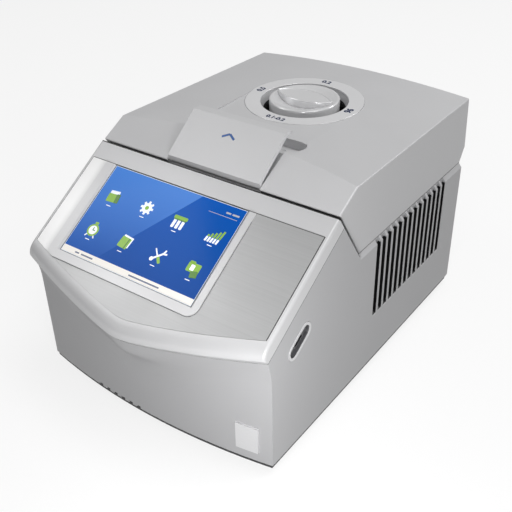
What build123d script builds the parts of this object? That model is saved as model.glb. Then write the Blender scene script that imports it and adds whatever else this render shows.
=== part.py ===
from build123d import *
import os
from math import cos, exp, pi, radians, sin, sqrt, tan

# Base housing, in millimetres, with Y zero at the front edge of its sides
body_width = 265.0
body_depth = 345.0
foot_height = 7.0
tray_drop = 4.0
side_height = 135.2
shoulder_inset = 3.0
shoulder_rise = 4.2
housing_wall = 4.5
front_sag = 13.0
shelf_depth = 4.0

# Sloping console on the front of the base
console_slope = 31.7
console_back_y = 96.9
console_over_side = 60.1
console_thickness = 13.6
console_skin = 3.0
console_foot_y = 133.4
console_edge_round = 2.5

# Keeled lower lip of the console, and the cove that fades out under it
lip_nose_length = 161.3
lip_keel = 0.19
lip_keel_round = 9.0
lip_curve = 0.00058
lip_roll = 14.5
lip_overhang = 1.0
cove_foot_rise = 53.0
cove_side_lift = 38.0
cove_side_power = 1.35
cove_keel_width = 30.0
cove_heights = (0.2, 0.4, 0.6, 0.8, 1.0)
cove_keel_shares = (0.07, 0.28, 0.66, 0.9, 1.0)
cove_side_shares = (0.055, 0.195, 0.41, 0.7, 1.0)
front_sections = 25

# Brushed overlay, display and its frame, on the console
overlay_top = 18.9
overlay_half = 128.5
overlay_thickness = 0.8
overlay_sink = 0.5
screen_width = 151.0
screen_height = 94.2
screen_x = -21.8
screen_u = -67.1
frame_left = 12.0
frame_right = 8.5
frame_below = 9.0
frame_above = 0.0
frame_thickness = 1.4
frame_corner = 10.0
glass_thickness = 1.8
glass_margin = 3.5
glass_top_margin = 0.2
glass_sink = 0.8
panel_thickness = 5.0
display_board_thickness = 1.6

# Lid
lid_gap = 2.0
lid_seat_gap = 0.4
lid_front_slope = 27.2
lid_back_y = 357.4
lid_back_chamfer_y = 12.2
lid_back_chamfer_z = 15.2
lid_half_seat = 129.5
lid_half_front = 131.5
lid_half_back = 126.5
lid_wall = 3.0
lid_front_over_side = 75.0
lid_front_top_y = 126.0
lid_back_over_side = 70.0
lid_crown = 6.9
lid_edge_round = 1.4

# Dial on the lid: ring, bowl, knob and lead screw
dial_y = 247.8
pan_over_side = 77.9
pan_half = 57.0
pan_back = 60.0
ring_outer = 59.0
ring_inner = 43.7
ring_thickness = 1.6
ring_proud = 0.4
bowl_wall = 2.5
bowl_depth = 18.0
knob_radius = 35.0
knob_rise = 3.0
knob_skirt = 17.0
knob_dish = 6.0
knob_rim = 2.4
grip_half_width = 16.0
grip_rise = 3.0
screw_radius = 5.0

# Pull handle and latch
handle_half = 51.0
handle_foot_u = 3.2
handle_foot_n = 3.2
handle_tip_u = 53.5
handle_tip_n = 12.0
handle_sheet = 3.0
handle_lip = 9.0
handle_lip_drop = 0.6
handle_flange = 6.0
pocket_depth = 5.0
pocket_side_gap = 0.8
scoop_half = 62.0
scoop_radius = 13.0
scoop_y = 153.0
scoop_depth = 9.0
pivot_u = 9.0
pivot_n = -13.0
pivot_radius = 2.0
pivot_boss = 4.3
latch_joint_n = -8.0
hook_x = 26.0
hook_width = 6.0
keeper_share = 0.45
keeper_reach = 9.0
keeper_bar_radius = 2.0
keeper_half = 38.0

# Hinge
hinge_y = 345.0
hinge_over_side = 18.8
hinge_x = 75.0
hinge_knuckle = 6.0
hinge_pin_radius = 3.0
hinge_width = 16.0
hinge_ear = 4.0
hinge_side_gap = 0.5

# Running clearances
running_gap = 0.05
slide_gap = 0.3

# Sample block and what lies under it
well_pitch = 9.0
well_columns = 12
well_rows = 8
well_radius = 2.75
well_depth = 14.5
well_tip = 0.9
block_margin = 8.0
block_height = 21.0
block_over_deck = 3.0
deck_thickness = 4.0
deck_drop = 5.0
gasket_width = 4.0
peltier_size = 38.0
peltier_thickness = 3.8
sink_width = 146.0
sink_depth = 104.0
sink_base = 8.0
sink_fin_height = 42.0
sink_fin = 1.6
sink_fin_count = 22

# Heated plate in the lid
plate_rest_gap = 14.0
plate_thickness = 8.0
plate_corner = 4.0
film_thickness = 0.6
carrier_thickness = 8.0
carrier_hub_radius = 13.0
carrier_hub_height = 16.0
guide_radius = 4.0
guide_x = 76.0
guide_y = 30.0
liner_thickness = 3.0

# Side vents
vent_count = 14
vent_front_y = 165.0
vent_back_y = 306.0
vent_width = 7.0
vent_height = 76.7
vent_sill = 4.0
screen_sheet = 1.0

# Front vents at the lower edge
front_vent_count = 6
front_vent_start = -59.6
front_vent_pitch = 10.1
front_vent_width = 5.0
front_vent_height = 2.5

# Rear panel, fans, mains inlet and switch
rear_sheet = 2.0
rear_recess = 1.0
fan_size = 80.0
fan_depth = 25.0
fan_bore = 38.0
fan_hub = 17.0
fan_tip_gap = 1.5
fan_hub_thickness = 4.0
fan_shaft_radius = 2.0
fan_blades = 7
fan_middle_x = 10.0
fan_spread = 90.0
fan_below_side = 76.2
guard_rings = (35.0, 27.5, 20.0, 12.5)
guard_wire = 1.8
inlet_from_side = 29.5
inlet_rise = 40.0
inlet_width = 28.0
inlet_height = 20.0
inlet_depth = 22.0
switch_rise = 76.0
switch_width = 15.0
switch_height = 21.0
rocker_sink = 3.0
rocker_pin_radius = 1.2

# USB socket and bare badge
usb_y = 39.5
usb_below_side = 25.9
usb_length = 36.0
usb_height = 17.0
usb_recess = 2.2
usb_rim = 1.6
usb_port_width = 13.2
usb_port_height = 5.8
usb_port_depth = 14.0
badge_from_side = 22.7
badge_rise = 24.5
badge_width = 21.0
badge_height = 28.0
badge_thickness = 1.6

# Electronics on the tray
supply_front_y = 40.0
supply_width = 58.0
supply_depth = 125.0
supply_height = 42.0
supply_from_wall = 12.0
supply_leg = 4.0
board_front_y = 30.0
board_width = 150.0
board_depth = 130.0
board_from_wall = 18.0
board_leg = 10.0
board_thickness = 1.6
tray_slot_front_y = 190.0
tray_slot_back_y = 290.0
tray_slot_pitch = 12.0

# Values worked out from the ones above
half_width = body_width / 2
housing_z = foot_height + tray_drop
shoulder_z = housing_z + side_height
rim_z = shoulder_z + shoulder_rise
console_z = shoulder_z + console_over_side
lid_front_top_z = shoulder_z + lid_front_over_side
lid_back_top_z = shoulder_z + lid_back_over_side
pan_z = shoulder_z + pan_over_side
hinge_z = shoulder_z + hinge_over_side
fan_z = shoulder_z - fan_below_side
fan_xs = (fan_middle_x - fan_spread / 2, fan_middle_x + fan_spread / 2)
usb_z = shoulder_z - usb_below_side
vent_bottom_z = shoulder_z - vent_height
inlet_x = inlet_from_side - half_width
badge_x = half_width - badge_from_side
lid_seat_z = rim_z + lid_seat_gap
deck_top = rim_z - deck_drop
deck_bottom = deck_top - deck_thickness
block_top = deck_top + block_over_deck
block_bottom = block_top - block_height
block_width = well_pitch * (well_columns - 1) + 2 * block_margin
block_depth = well_pitch * (well_rows - 1) + 2 * block_margin
sink_top = block_bottom - peltier_thickness
plate_bottom = block_top + plate_rest_gap
plate_top = plate_bottom + plate_thickness
carrier_bottom = plate_top + film_thickness
carrier_top = carrier_bottom + carrier_thickness
liner_bottom = lid_seat_z + 1.0
liner_top = liner_bottom + liner_thickness
rear_face = body_depth - rear_recess

console = Plane(
    origin=(0, console_back_y, console_z),
    x_dir=(1, 0, 0),
    z_dir=(0, -sin(radians(console_slope)), cos(radians(console_slope))),
)


# Helpers

def console_point(u, n):
    # World Y and Z of a place on the console: u up the slope, n out of it
    a = radians(console_slope)
    return (console_back_y + u * cos(a) - n * sin(a), console_z + u * sin(a) + n * cos(a))


def block_at(x0, x1, y0, y1, z0, z1):
    centre = Pos((x0 + x1) / 2, (y0 + y1) / 2, (z0 + z1) / 2)
    return centre * Box(x1 - x0, y1 - y0, z1 - z0)


def side_face(points, x=0.0):
    # Closed polygon in Y and Z, on the plane at X
    return Plane.YZ.offset(x) * make_face(Polyline(*points, close=True))


def side_prism(points, x0, x1):
    return extrude(side_face(points, x0), x1 - x0)


def rod_x(x0, x1, y, z, radius):
    return Pos((x0 + x1) / 2, y, z) * Rot(0, 90, 0) * Cylinder(radius, x1 - x0)


def rod_z(x, y, z0, z1, radius):
    return Pos(x, y, (z0 + z1) / 2) * Cylinder(radius, z1 - z0)


def rod_y(x, z, y0, y1, radius):
    return Pos(x, (y0 + y1) / 2, z) * Rot(90, 0, 0) * Cylinder(radius, y1 - y0)


def arc_drop(half, sag, x):
    # How far the arc with this half chord and sag has come back at X
    radius = (half * half + sag * sag) / (2 * sag)
    return radius - sqrt(radius * radius - x * x)


# Base housing

def even_places(half):
    # Evenly spaced places across the front, from left to right
    return [half * (2 * i / (front_sections - 1) - 1) for i in range(front_sections)]


def wall_y(x):
    # The plain curve of the front below the cove
    return -front_sag + arc_drop(half_width, front_sag, x)


def lip_length(x):
    # Length of the console down to its keeled lower edge
    keel = lip_keel * (sqrt(x * x + lip_keel_round ** 2) - lip_keel_round)
    return lip_nose_length - keel - lip_curve * x * x


def cove_points(x):
    # From the plain wall, out and up to the seam under the lip
    share = min(abs(x) / half_width, 1.0) ** cove_side_power
    foot_z = housing_z + cove_foot_rise + cove_side_lift * (1 - cos(pi * share)) / 2
    seam_y, seam_z = console_point(-lip_length(x), -console_thickness)
    keel = exp(-(x / cove_keel_width) ** 2)
    points = [(wall_y(x), foot_z)]
    for height, middle, side in zip(cove_heights, cove_keel_shares, cove_side_shares):
        out = keel * middle + (1 - keel) * side
        points.append((wall_y(x) + out * (seam_y - wall_y(x)), foot_z + height * (seam_z - foot_z)))
    return points


def front_section(x, inset, reach):
    # One upright section of the front, straight behind and parallel to the seam above
    points = [(y + inset, z) for y, z in cove_points(x)]
    foot_y, foot_z = points[0]
    (before_y, before_z), (seam_y, seam_z) = points[-2:]
    lean_y = seam_y - before_y
    lean_z = seam_z - before_z
    top_y = seam_y + lean_y
    top_z = seam_z + lean_z
    back_z = top_z + (reach - top_y) * tan(radians(console_slope))
    curve = Spline(*points, tangents=[(0, 1), (lean_y, lean_z)])
    low = Line((foot_y, 0), (foot_y, foot_z))
    rest = Polyline((seam_y, seam_z), (top_y, top_z), (reach, back_z), (reach, 0), (foot_y, 0))
    return Plane.YZ.offset(x) * make_face(low + curve + rest)


def front_form(inset):
    # Everything behind the curved front
    reach = 60.0
    sections = [front_section(x, inset, reach) for x in even_places(half_width + 5.0)]
    behind = block_at(-half_width - 5, half_width + 5, reach - 8, body_depth + 10, 0, console_z + 5)
    return loft(sections) + behind


def console_seam_z(y):
    seam_y, seam_z = console_point(0, -console_thickness)
    return seam_z + (y - seam_y) * tan(radians(console_slope))


def console_back():
    # Top of the sloping back wall of the console
    return console_point(0, -console_thickness)


def back_wall_normal():
    top_y, top_z = console_back()
    dy = console_foot_y - top_y
    dz = top_z - rim_z
    length = sqrt(dy * dy + dz * dz)
    return dz / length, dy / length


def housing_outside():
    front = -60.0
    points = [(front, housing_z), (body_depth, housing_z), (body_depth, rim_z),
              (console_foot_y, rim_z), console_back(), (front, console_seam_z(front))]
    body = side_prism(points, -half_width, half_width) & front_form(0.0)
    slope = [(half_width + 1, shoulder_z), (half_width, shoulder_z),
             (half_width - shoulder_inset, rim_z), (half_width - shoulder_inset, rim_z + 1),
             (half_width + 1, rim_z + 1)]
    start = console_foot_y + 1.0
    strip = Plane.XZ.offset(-body_depth) * make_face(Polyline(*slope, close=True))
    strip = extrude(strip, body_depth - start)
    return body - strip - strip.mirror(Plane.YZ)


def housing_inside():
    # The hollow of the housing, open to the bottom, the console, the deck and the rear
    ny, nz = back_wall_normal()
    top_y, top_z = console_back()
    inner_half = half_width - housing_wall
    lean = (console_foot_y - top_y) / (top_z - rim_z)
    inner_top = (top_y - housing_wall * ny, top_z - housing_wall * nz)
    floor = deck_bottom - 6.0
    low_y = inner_top[0] + (inner_top[1] - floor) * lean
    high = 8.0
    front = -60.0
    room = [(front, 0), (low_y + 30, 0), (low_y + 30, floor), (low_y, floor),
            (inner_top[0] - high * lean, inner_top[1] + high), (front, inner_top[1] + high)]
    console_room = side_prism(room, -inner_half, inner_half) & front_form(housing_wall)
    shelf = console_foot_y + shelf_depth
    rest = block_at(-inner_half, inner_half, shelf, body_depth + 1, 0, rim_z + 1)
    under = block_at(-inner_half, inner_half, low_y, shelf + 1, 0, floor)
    return console_room + rest + under


def vent_cutter(side, y):
    # One side slot, with a sloping sill, carried up over the shoulder
    inner = half_width - housing_wall - 1.0
    bottom = vent_bottom_z
    over = half_width - shoulder_inset
    points = [(half_width + 1, bottom - vent_sill - 1), (inner, bottom + 1), (inner, deck_bottom - 8),
              (over, deck_bottom - 4), (over, rim_z + 1), (half_width + 1, rim_z + 1)]
    face = Plane.XZ.offset(-y - vent_width) * make_face(Polyline(*points, close=True))
    cutter = extrude(face, vent_width)
    return cutter if side > 0 else cutter.mirror(Plane.YZ)


def vent_places():
    pitch = (vent_back_y - vent_front_y - vent_width) / (vent_count - 1)
    return [vent_front_y + i * pitch for i in range(vent_count)]


def stadium_cut(length, height, depth):
    return extrude(SlotOverall(length, height), depth)


def usb_plane(inward):
    # On the right side, turned to the slope of the console, looking outward
    a = radians(console_slope)
    return Plane(origin=(half_width - inward, usb_y, usb_z),
                 x_dir=(0, cos(a), sin(a)), z_dir=(1, 0, 0))


def base_housing():
    shell = housing_outside() - housing_inside()
    ledge_inner = half_width - housing_wall - 4.0
    for side in (-1, 1):
        inner, outer = sorted((side * ledge_inner, side * (half_width - housing_wall + 0.5)))
        shell += block_at(inner, outer, console_foot_y + 2, rear_face - rear_sheet - 2,
                          deck_bottom - 3, deck_bottom)
        for y in vent_places():
            shell -= vent_cutter(side, y)
    for i in range(front_vent_count):
        x = front_vent_start + i * front_vent_pitch
        shell -= block_at(x - front_vent_width / 2, x + front_vent_width / 2, -front_sag - 5, 12,
                          housing_z - 1, housing_z + front_vent_height)
    shell -= usb_plane(housing_wall + 1) * stadium_cut(usb_length, usb_height, housing_wall + 2)
    return shell


def base_tray():
    # Dark bottom plate with an upturned rim inside the housing
    inset = 1.2
    plan = tray_outline(inset)
    plate = extrude(plan, 3.0)
    rim_out = tray_outline(housing_wall + 0.4)
    rim_in = tray_outline(housing_wall + 2.4)
    rim = extrude(rim_out, tray_drop + 9.0) - extrude(rim_in, tray_drop + 10.0)
    tray = Pos(0, 0, foot_height) * (plate + rim)
    fill = extrude(tray_outline(inset + 0.0), tray_drop) - extrude(tray_outline(4.0), tray_drop + 1)
    tray += Pos(0, 0, foot_height) * fill
    for i in range(16):
        x = (i - 7.5) * tray_slot_pitch
        tray -= block_at(x - 2.5, x + 2.5, tray_slot_front_y, tray_slot_back_y, foot_height - 1,
                         foot_height + 4)
    tray -= [rod_z(x, y, foot_height - 1, foot_height + 6, 3.0) for x, y in foot_places()]
    return tray


def tray_outline(inset):
    half = half_width - inset
    nose = -front_sag + inset
    end = nose + arc_drop(half_width, front_sag, half)
    back = rear_face - rear_sheet - inset + 0.8
    arc = ThreePointArc((-half, end), (0, nose), (half, end))
    rest = Polyline((half, end), (half, back), (-half, back), (-half, end))
    return make_face(arc + rest)


def foot_places():
    side = half_width - 26.0
    return [(sx * side, y) for sx in (-1, 1) for y in (24.0, body_depth - 28.0)]


def rubber_feet():
    feet = []
    for x, y in foot_places():
        foot = Pos(x, y, foot_height / 2) * Cone(8.0, 9.0, foot_height)
        stem = rod_z(x, y, foot_height, foot_height + 5.0, 2.8)
        feet.append(foot + stem)
    return Compound(children=feet)


def rear_panel():
    half = half_width - housing_wall - 0.4
    sheet = block_at(-half, half, rear_face - rear_sheet, rear_face, foot_height + 3.2, rim_z - 0.4)
    for x in fan_xs:
        sheet -= rod_y(x, fan_z, rear_face - 5, rear_face + 5, fan_bore - 1)
    sheet -= block_at(inlet_x - inlet_width / 2, inlet_x + inlet_width / 2, rear_face - 5,
                      rear_face + 5, inlet_z() - inlet_height / 2, inlet_z() + inlet_height / 2)
    sheet -= block_at(inlet_x - switch_width / 2, inlet_x + switch_width / 2, rear_face - 5,
                      rear_face + 5, switch_z() - switch_height / 2, switch_z() + switch_height / 2)
    for i in range(9):
        x = inlet_x - 14 + i * 3.5
        sheet -= block_at(x - 1, x + 1, rear_face - 5, rear_face + 5, switch_z() + 20, switch_z() + 38)
    return sheet


def inlet_z():
    return housing_z + inlet_rise


def switch_z():
    return housing_z + switch_rise


# Console: moulding, overlay, frame and display

def console_section(x):
    # Cross-section of the console plate, with its rolled and undercut lower lip
    long = lip_length(x)
    nose = -0.5 * console_thickness
    top = [console_point(0, 0), console_point(lip_roll - long, 0)]
    curve = [console_point(lip_roll - long, 0), console_point(0.42 * lip_roll - long, 0),
             console_point(2.0 - long, 0.24 * nose), console_point(-long - lip_overhang, nose)]
    back = [console_point(-long - lip_overhang, nose), console_point(-long, -console_thickness),
            console_point(0, -console_thickness), console_point(0, 0)]
    edges = Polyline(*top) + Bezier(*curve) + Polyline(*back)
    return Plane.YZ.offset(x) * make_face(edges)


def overlay_outline(gap):
    half = overlay_half + gap
    low = [(x, lip_roll - lip_length(x) - gap) for x in even_places(half)]
    curve = Spline(*low)
    rest = Polyline(low[-1], (half, -overlay_top + gap), (-half, -overlay_top + gap), low[0])
    return make_face(curve + rest)


def frame_outline(grow=0.0):
    left = screen_x - screen_width / 2 - frame_left - grow
    right = screen_x + screen_width / 2 + frame_right + grow
    low = screen_u - screen_height / 2 - frame_below - grow
    high = screen_u + screen_height / 2 + frame_above + grow
    face = Pos((left + right) / 2, (low + high) / 2) * Rectangle(right - left, high - low)
    corners = face.vertices().sort_by(Axis.Y)[:2]
    return fillet(corners, frame_corner)


def screen_window(margin, above, depth, n):
    # Block over the screen with one margin at the sides and below, another at the top
    window = Rectangle(screen_width + 2 * margin, screen_height + margin + above)
    return console * Pos(screen_x, screen_u + (above - margin) / 2, n) * extrude(window, depth)


def console_side_edges(plate):
    # Upper edges of both sides, from the back down to the nose of the lip
    edges = []
    for edge in plate.edges():
        place = console.to_local_coords(edge.center())
        if abs(abs(place.X) - half_width) < 0.01 and place.Z > -9 and place.Y < -1:
            edges.append(edge)
    return edges


def console_moulding():
    plate = loft([console_section(x) for x in even_places(half_width)])
    plate = fillet(console_side_edges(plate), console_edge_round)
    hollow_half = half_width - housing_wall - 1.5
    low = lip_roll - lip_length(half_width) + 6
    room = console * block_at(-hollow_half, hollow_half, low, -6, -console_thickness - 1, -console_skin)
    plate -= room
    plate -= console * Pos(0, 0, -overlay_sink) * extrude(overlay_outline(0.2), 5)
    plate -= screen_window(glass_margin + 1.0, glass_top_margin + 0.6, 20, -12)
    return plate


def console_overlay():
    sheet = console * Pos(0, 0, -overlay_sink) * extrude(overlay_outline(0.0), overlay_thickness)
    return sheet - screen_window(glass_margin + 0.6, glass_top_margin + 0.2, 20, -10)


def display_frame():
    # Three-sided frame, open to the strip above the screen
    base = overlay_thickness - overlay_sink
    frame = console * Pos(0, 0, base) * extrude(frame_outline(), frame_thickness)
    rise = 4.0
    opening = Pos(0, rise / 2) * Rectangle(screen_width + 1, screen_height + 1 + rise)
    wide = Pos(0, rise / 2) * Rectangle(screen_width + 5, screen_height + 1.6 + rise)
    bevel = loft([Pos(0, 0, base - 0.1) * opening, Pos(0, 0, base + frame_thickness + 0.1) * wide])
    return frame - console * Pos(screen_x, screen_u) * bevel


def glass_bottom():
    return overlay_thickness - overlay_sink - glass_sink - glass_thickness


def touch_glass():
    return screen_window(glass_margin, glass_top_margin, glass_thickness + glass_sink - 0.1, glass_bottom())


def display_panel():
    bottom = glass_bottom() - panel_thickness
    return screen_window(glass_margin + 0.5, glass_top_margin + 0.3, panel_thickness, bottom)


def display_board():
    top = glass_bottom() - panel_thickness
    board = screen_window(-4.0, -4.0, display_board_thickness, top - 3.0 - display_board_thickness)
    for sx in (-1, 1):
        for su in (-1, 1):
            x = screen_x + sx * (screen_width / 2 - 10)
            u = screen_u + su * (screen_height / 2 - 10)
            board += console * Pos(x, u, top - 1.5) * Cylinder(2.5, 3.0)
    for i in range(4):
        place = Pos(screen_x - 45 + 30 * i, screen_u, top - 3.0 - display_board_thickness - 1.0)
        board += console * place * Box(14, 14, 2.0)
    return board


# Lid

def lid_front():
    a = radians(console_slope)
    return console_back_y + lid_gap * cos(a), console_z + lid_gap * sin(a)


def lid_plane():
    y, z = lid_front()
    a = radians(lid_front_slope)
    return Plane(origin=(0, y, z), x_dir=(1, 0, 0), z_dir=(0, -sin(a), cos(a)))


def lid_point(u, n):
    y, z = lid_front()
    a = radians(lid_front_slope)
    return (y + u * cos(a) - n * sin(a), z + u * sin(a) + n * cos(a))


def lid_foot_y():
    # Where the sloping front joint of the lid meets its seat
    y, z = lid_front()
    top_y, top_z = console_back()
    return y + (z - lid_seat_z) * (console_foot_y - top_y) / (top_z - rim_z)


def lid_side_points():
    y, z = lid_front()
    high = z + 55.0
    slope = tan(radians(lid_front_slope))
    return [(y, z), (lid_foot_y(), lid_seat_z),
            (lid_back_y - lid_back_chamfer_y, lid_seat_z),
            (lid_back_y, lid_seat_z + lid_back_chamfer_z),
            (lid_back_y, high), (y + (high - z) / slope, high)]


def lid_plan(half_front, half_back, inset, z):
    y0 = console_back_y - 10
    y1 = lid_back_y + 10
    points = [(-half_front + inset, y0), (half_front - inset, y0),
              (half_back - inset, y1), (-half_back + inset, y1)]
    return Pos(0, 0, z) * make_face(Polyline(*points, close=True))


def lid_taper(inset):
    # The lid is a little wider than its seat in front and narrower behind
    low = lid_seat_z - 5
    high = lid_front_top_z
    grow_front = (lid_half_front - lid_half_seat)
    grow_back = (lid_half_back - lid_half_seat)
    bottom = lid_plan(lid_half_seat, lid_half_seat, inset, low)
    top = lid_plan(lid_half_seat + 1.4 * grow_front, lid_half_seat + 1.4 * grow_back, inset,
                   low + 1.4 * (high - low))
    return loft([bottom, top], ruled=True)


def lid_fall():
    return (lid_front_top_z - lid_back_top_z) / (lid_back_y - lid_front_top_y)


def lid_roof(inset):
    # Everything under the crowned top, which falls a little to the rear
    wide = half_width + 10
    y0 = console_back_y - 20
    y1 = lid_back_y + 20
    fall = lid_fall()
    edge = lid_front_top_z + fall * (lid_front_top_y - y0) - inset
    end = edge + lid_crown - arc_drop(half_width, lid_crown, wide)
    arc = ThreePointArc((-wide, end), (0, edge + lid_crown), (wide, end))
    rest = Polyline((wide, end), (wide, 100), (-wide, 100), (-wide, end))
    face = Plane.XZ.offset(-y0) * make_face(arc + rest)
    return extrude(face, y1 - y0, dir=(0, 1, -fall))


def lid_form(inset):
    face = side_face(lid_side_points())
    if inset > 0:
        face = offset(face, amount=-inset, kind=Kind.INTERSECTION)
    wide = half_width + 8
    body = Pos(-wide, 0, 0) * extrude(face, 2 * wide)
    return body & lid_taper(inset) & lid_roof(inset)


def lid_top_z(x, y):
    edge = lid_front_top_z - lid_fall() * (y - lid_front_top_y)
    return edge + lid_crown - arc_drop(half_width, lid_crown, abs(x))


def pan_block(grow):
    return block_at(-pan_half - grow, pan_half + grow, scoop_y, dial_y + pan_back + grow,
                    pan_z - grow, pan_z + 30)


def scoop_block(grow):
    # Finger hollow behind the handle
    plan = SlotOverall(2 * (scoop_half + grow), 2 * (scoop_radius + grow))
    return Pos(0, scoop_y, pan_z - scoop_depth - grow) * extrude(plan, 60)


def pocket_block(grow):
    # Hollow in the front slope under the handle
    half = handle_half + pocket_side_gap + grow
    return lid_plane() * block_at(-half, half, -6 - grow, handle_tip_u - 8 + grow,
                                  -pocket_depth - grow, 30)


def hook_slot(x):
    half = hook_width / 2 + 1.2
    return lid_plane() * block_at(x - half, x + half, 5.0, 24.0, -20, 2)


def keeper_window():
    low = keeper_place()[1] - 24.0
    high = keeper_place()[1] + 14.0
    half = keeper_half + 4.0
    front = lid_front()[0] - 2
    return block_at(-half, half, front, lid_foot_y() + 1.5, low, high)


def hinge_notch(x):
    half = hinge_width / 2 + hinge_side_gap + hinge_ear + 1.0
    reach = hinge_z - lid_seat_z + 3.0
    notch = block_at(x - half, x + half, hinge_y - 12, lid_back_y + 1, lid_seat_z - 1, hinge_z + 1.5)
    return notch & rod_x(x - half, x + half, hinge_y, hinge_z, reach + 4.0)


def lid_outside():
    # The closed form of the lid with its upper edges eased
    form = lid_form(0)
    upper = [edge for edge in form.edges() if edge.center().Z > lid_seat_z + 24]
    return fillet(upper, lid_edge_round)


def lid_shell():
    inner = lid_form(lid_wall)
    opening = block_at(-lid_half_seat + lid_wall, lid_half_seat - lid_wall, lid_foot_y() + lid_wall,
                       lid_back_y - lid_back_chamfer_y - 1.5, lid_seat_z - 1, lid_seat_z + 8)
    inner -= pan_block(lid_wall)
    inner -= scoop_block(lid_wall)
    inner -= pocket_block(lid_wall)
    shell = lid_outside() - inner - opening
    shell -= pan_block(0)
    shell -= scoop_block(0)
    shell -= pocket_block(0)
    shell -= rod_z(0, dial_y, pan_z - 20, pan_z + 20, ring_inner + bowl_wall + 0.3)
    shell -= rod_z(0, dial_y, pan_z - ring_thickness + ring_proud, pan_z + 20, ring_outer + 0.3)
    shell -= keeper_window()
    for side in (-1, 1):
        shell -= hook_slot(side * hook_x)
        shell -= hinge_notch(side * hinge_x)
    return shell


def lid_liner():
    # Plate that closes the underside of the lid round the heated plate
    gap = lid_wall + 0.3
    back = hinge_y - 16
    plate = block_at(-lid_half_seat + gap, lid_half_seat - gap, lid_foot_y() + lid_wall + 0.5, back,
                     liner_bottom, liner_top)
    half_x = block_width / 2 + 3
    half_y = block_depth / 2 + 3
    window = block_at(-half_x, half_x, dial_y - half_y, dial_y + half_y, liner_bottom - 1, liner_top + 5)
    collar = block_at(-half_x - 2, half_x + 2, dial_y - half_y - 2, dial_y + half_y + 2,
                      liner_top, liner_top + 4)
    return plate + collar - window


def dial_ring():
    bottom = pan_z - ring_thickness + ring_proud
    disc = rod_z(0, dial_y, bottom, pan_z + ring_proud, ring_outer)
    hole = rod_z(0, dial_y, bottom - 1, pan_z + 2, ring_inner)
    ring = disc - hole
    return chamfer(ring.edges().group_by(Axis.Z)[-1], 0.3)


def dial_bowl():
    top = pan_z - ring_thickness + ring_proud
    floor = pan_z - bowl_depth
    under = pan_z - lid_wall - 0.4
    wall_foot = ring_inner - 4.0
    inner = [(screw_radius + 4.5, floor), (wall_foot, floor), (wall_foot, floor + 8),
             (ring_inner, top)]
    outer = [(ring_inner + bowl_wall, top), (ring_inner + bowl_wall, under - 3),
             (wall_foot + bowl_wall, floor - bowl_wall), (screw_radius + 4.5, floor - bowl_wall)]
    face = Plane.XZ * make_face(Polyline(*inner, *outer, close=True))
    flange = rod_z(0, 0, under - 3, under, ring_inner + bowl_wall + 7)
    flange -= rod_z(0, 0, under - 4, under + 1, ring_inner + bowl_wall - 1)
    bowl = revolve(face, Axis.Z)
    return Pos(0, dial_y, 0) * (bowl + flange)


def spindle_bush():
    floor = pan_z - bowl_depth
    outer = rod_z(0, dial_y, floor - bowl_wall - 6, floor + 1, screw_radius + 4.5)
    flange = rod_z(0, dial_y, floor - bowl_wall - 6, floor - bowl_wall, screw_radius + 9)
    hole = rod_z(0, dial_y, floor - 20, floor + 5, screw_radius + slide_gap)
    return outer + flange - hole


def tightening_knob():
    # Round knob with two crescent hollows that leave a lens-shaped grip
    rim = pan_z + knob_rise
    foot = rim - knob_skirt
    body = rod_z(0, 0, foot, rim, knob_radius)
    body = fillet(body.edges().group_by(Axis.Z)[-1], 1.6)
    dish_radius = knob_radius - knob_rim
    dish = Pos(0, 0, rim + 14.0) * Sphere(sqrt(dish_radius ** 2 + 14.0 ** 2))
    ball_radius = (dish_radius ** 2 + knob_dish ** 2) / (2 * knob_dish)
    dish = Pos(0, 0, rim - knob_dish + ball_radius) * Sphere(ball_radius)
    body -= dish
    half = knob_radius - 0.4
    lens_arc = ThreePointArc((-half, 0), (0, grip_half_width), (half, 0))
    lens = make_face(lens_arc + lens_arc.mirror(Plane.XZ))
    grip = Pos(0, 0, rim - knob_dish - 2) * extrude(lens, knob_dish + 2 + grip_rise)
    crown = Pos(0, 0, rim + grip_rise - 260) * Sphere(260)
    grip &= crown
    grip &= rod_z(0, 0, rim - 20, rim + 20, half)
    knob = body + grip
    knob -= rod_z(0, 0, foot - 1, foot + 10, screw_radius)
    hollow = rod_z(0, 0, foot - 1, foot + 6, knob_radius - 3) - rod_z(0, 0, foot - 1, foot + 6, 12)
    return Pos(0, dial_y, 0) * (knob - hollow)


def lead_screw():
    top = pan_z + knob_rise - knob_skirt + 10
    return rod_z(0, dial_y, carrier_top - 4, top, screw_radius)


# Heated plate and its carrier

def heated_plate():
    half_x = block_width / 2
    half_y = block_depth / 2
    plate = block_at(-half_x, half_x, dial_y - half_y, dial_y + half_y, plate_bottom, plate_top)
    plate = fillet(plate.edges().filter_by(Axis.Z), plate_corner)
    return chamfer(plate.edges().group_by(Axis.Z)[0], 0.8)


def heater_film():
    half_x = block_width / 2 - 4
    half_y = block_depth / 2 - 4
    return block_at(-half_x, half_x, dial_y - half_y, dial_y + half_y, plate_top, carrier_bottom)


def guide_places():
    return [(sx * guide_x, dial_y + sy * guide_y) for sx in (-1, 1) for sy in (-1, 1)]


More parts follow.
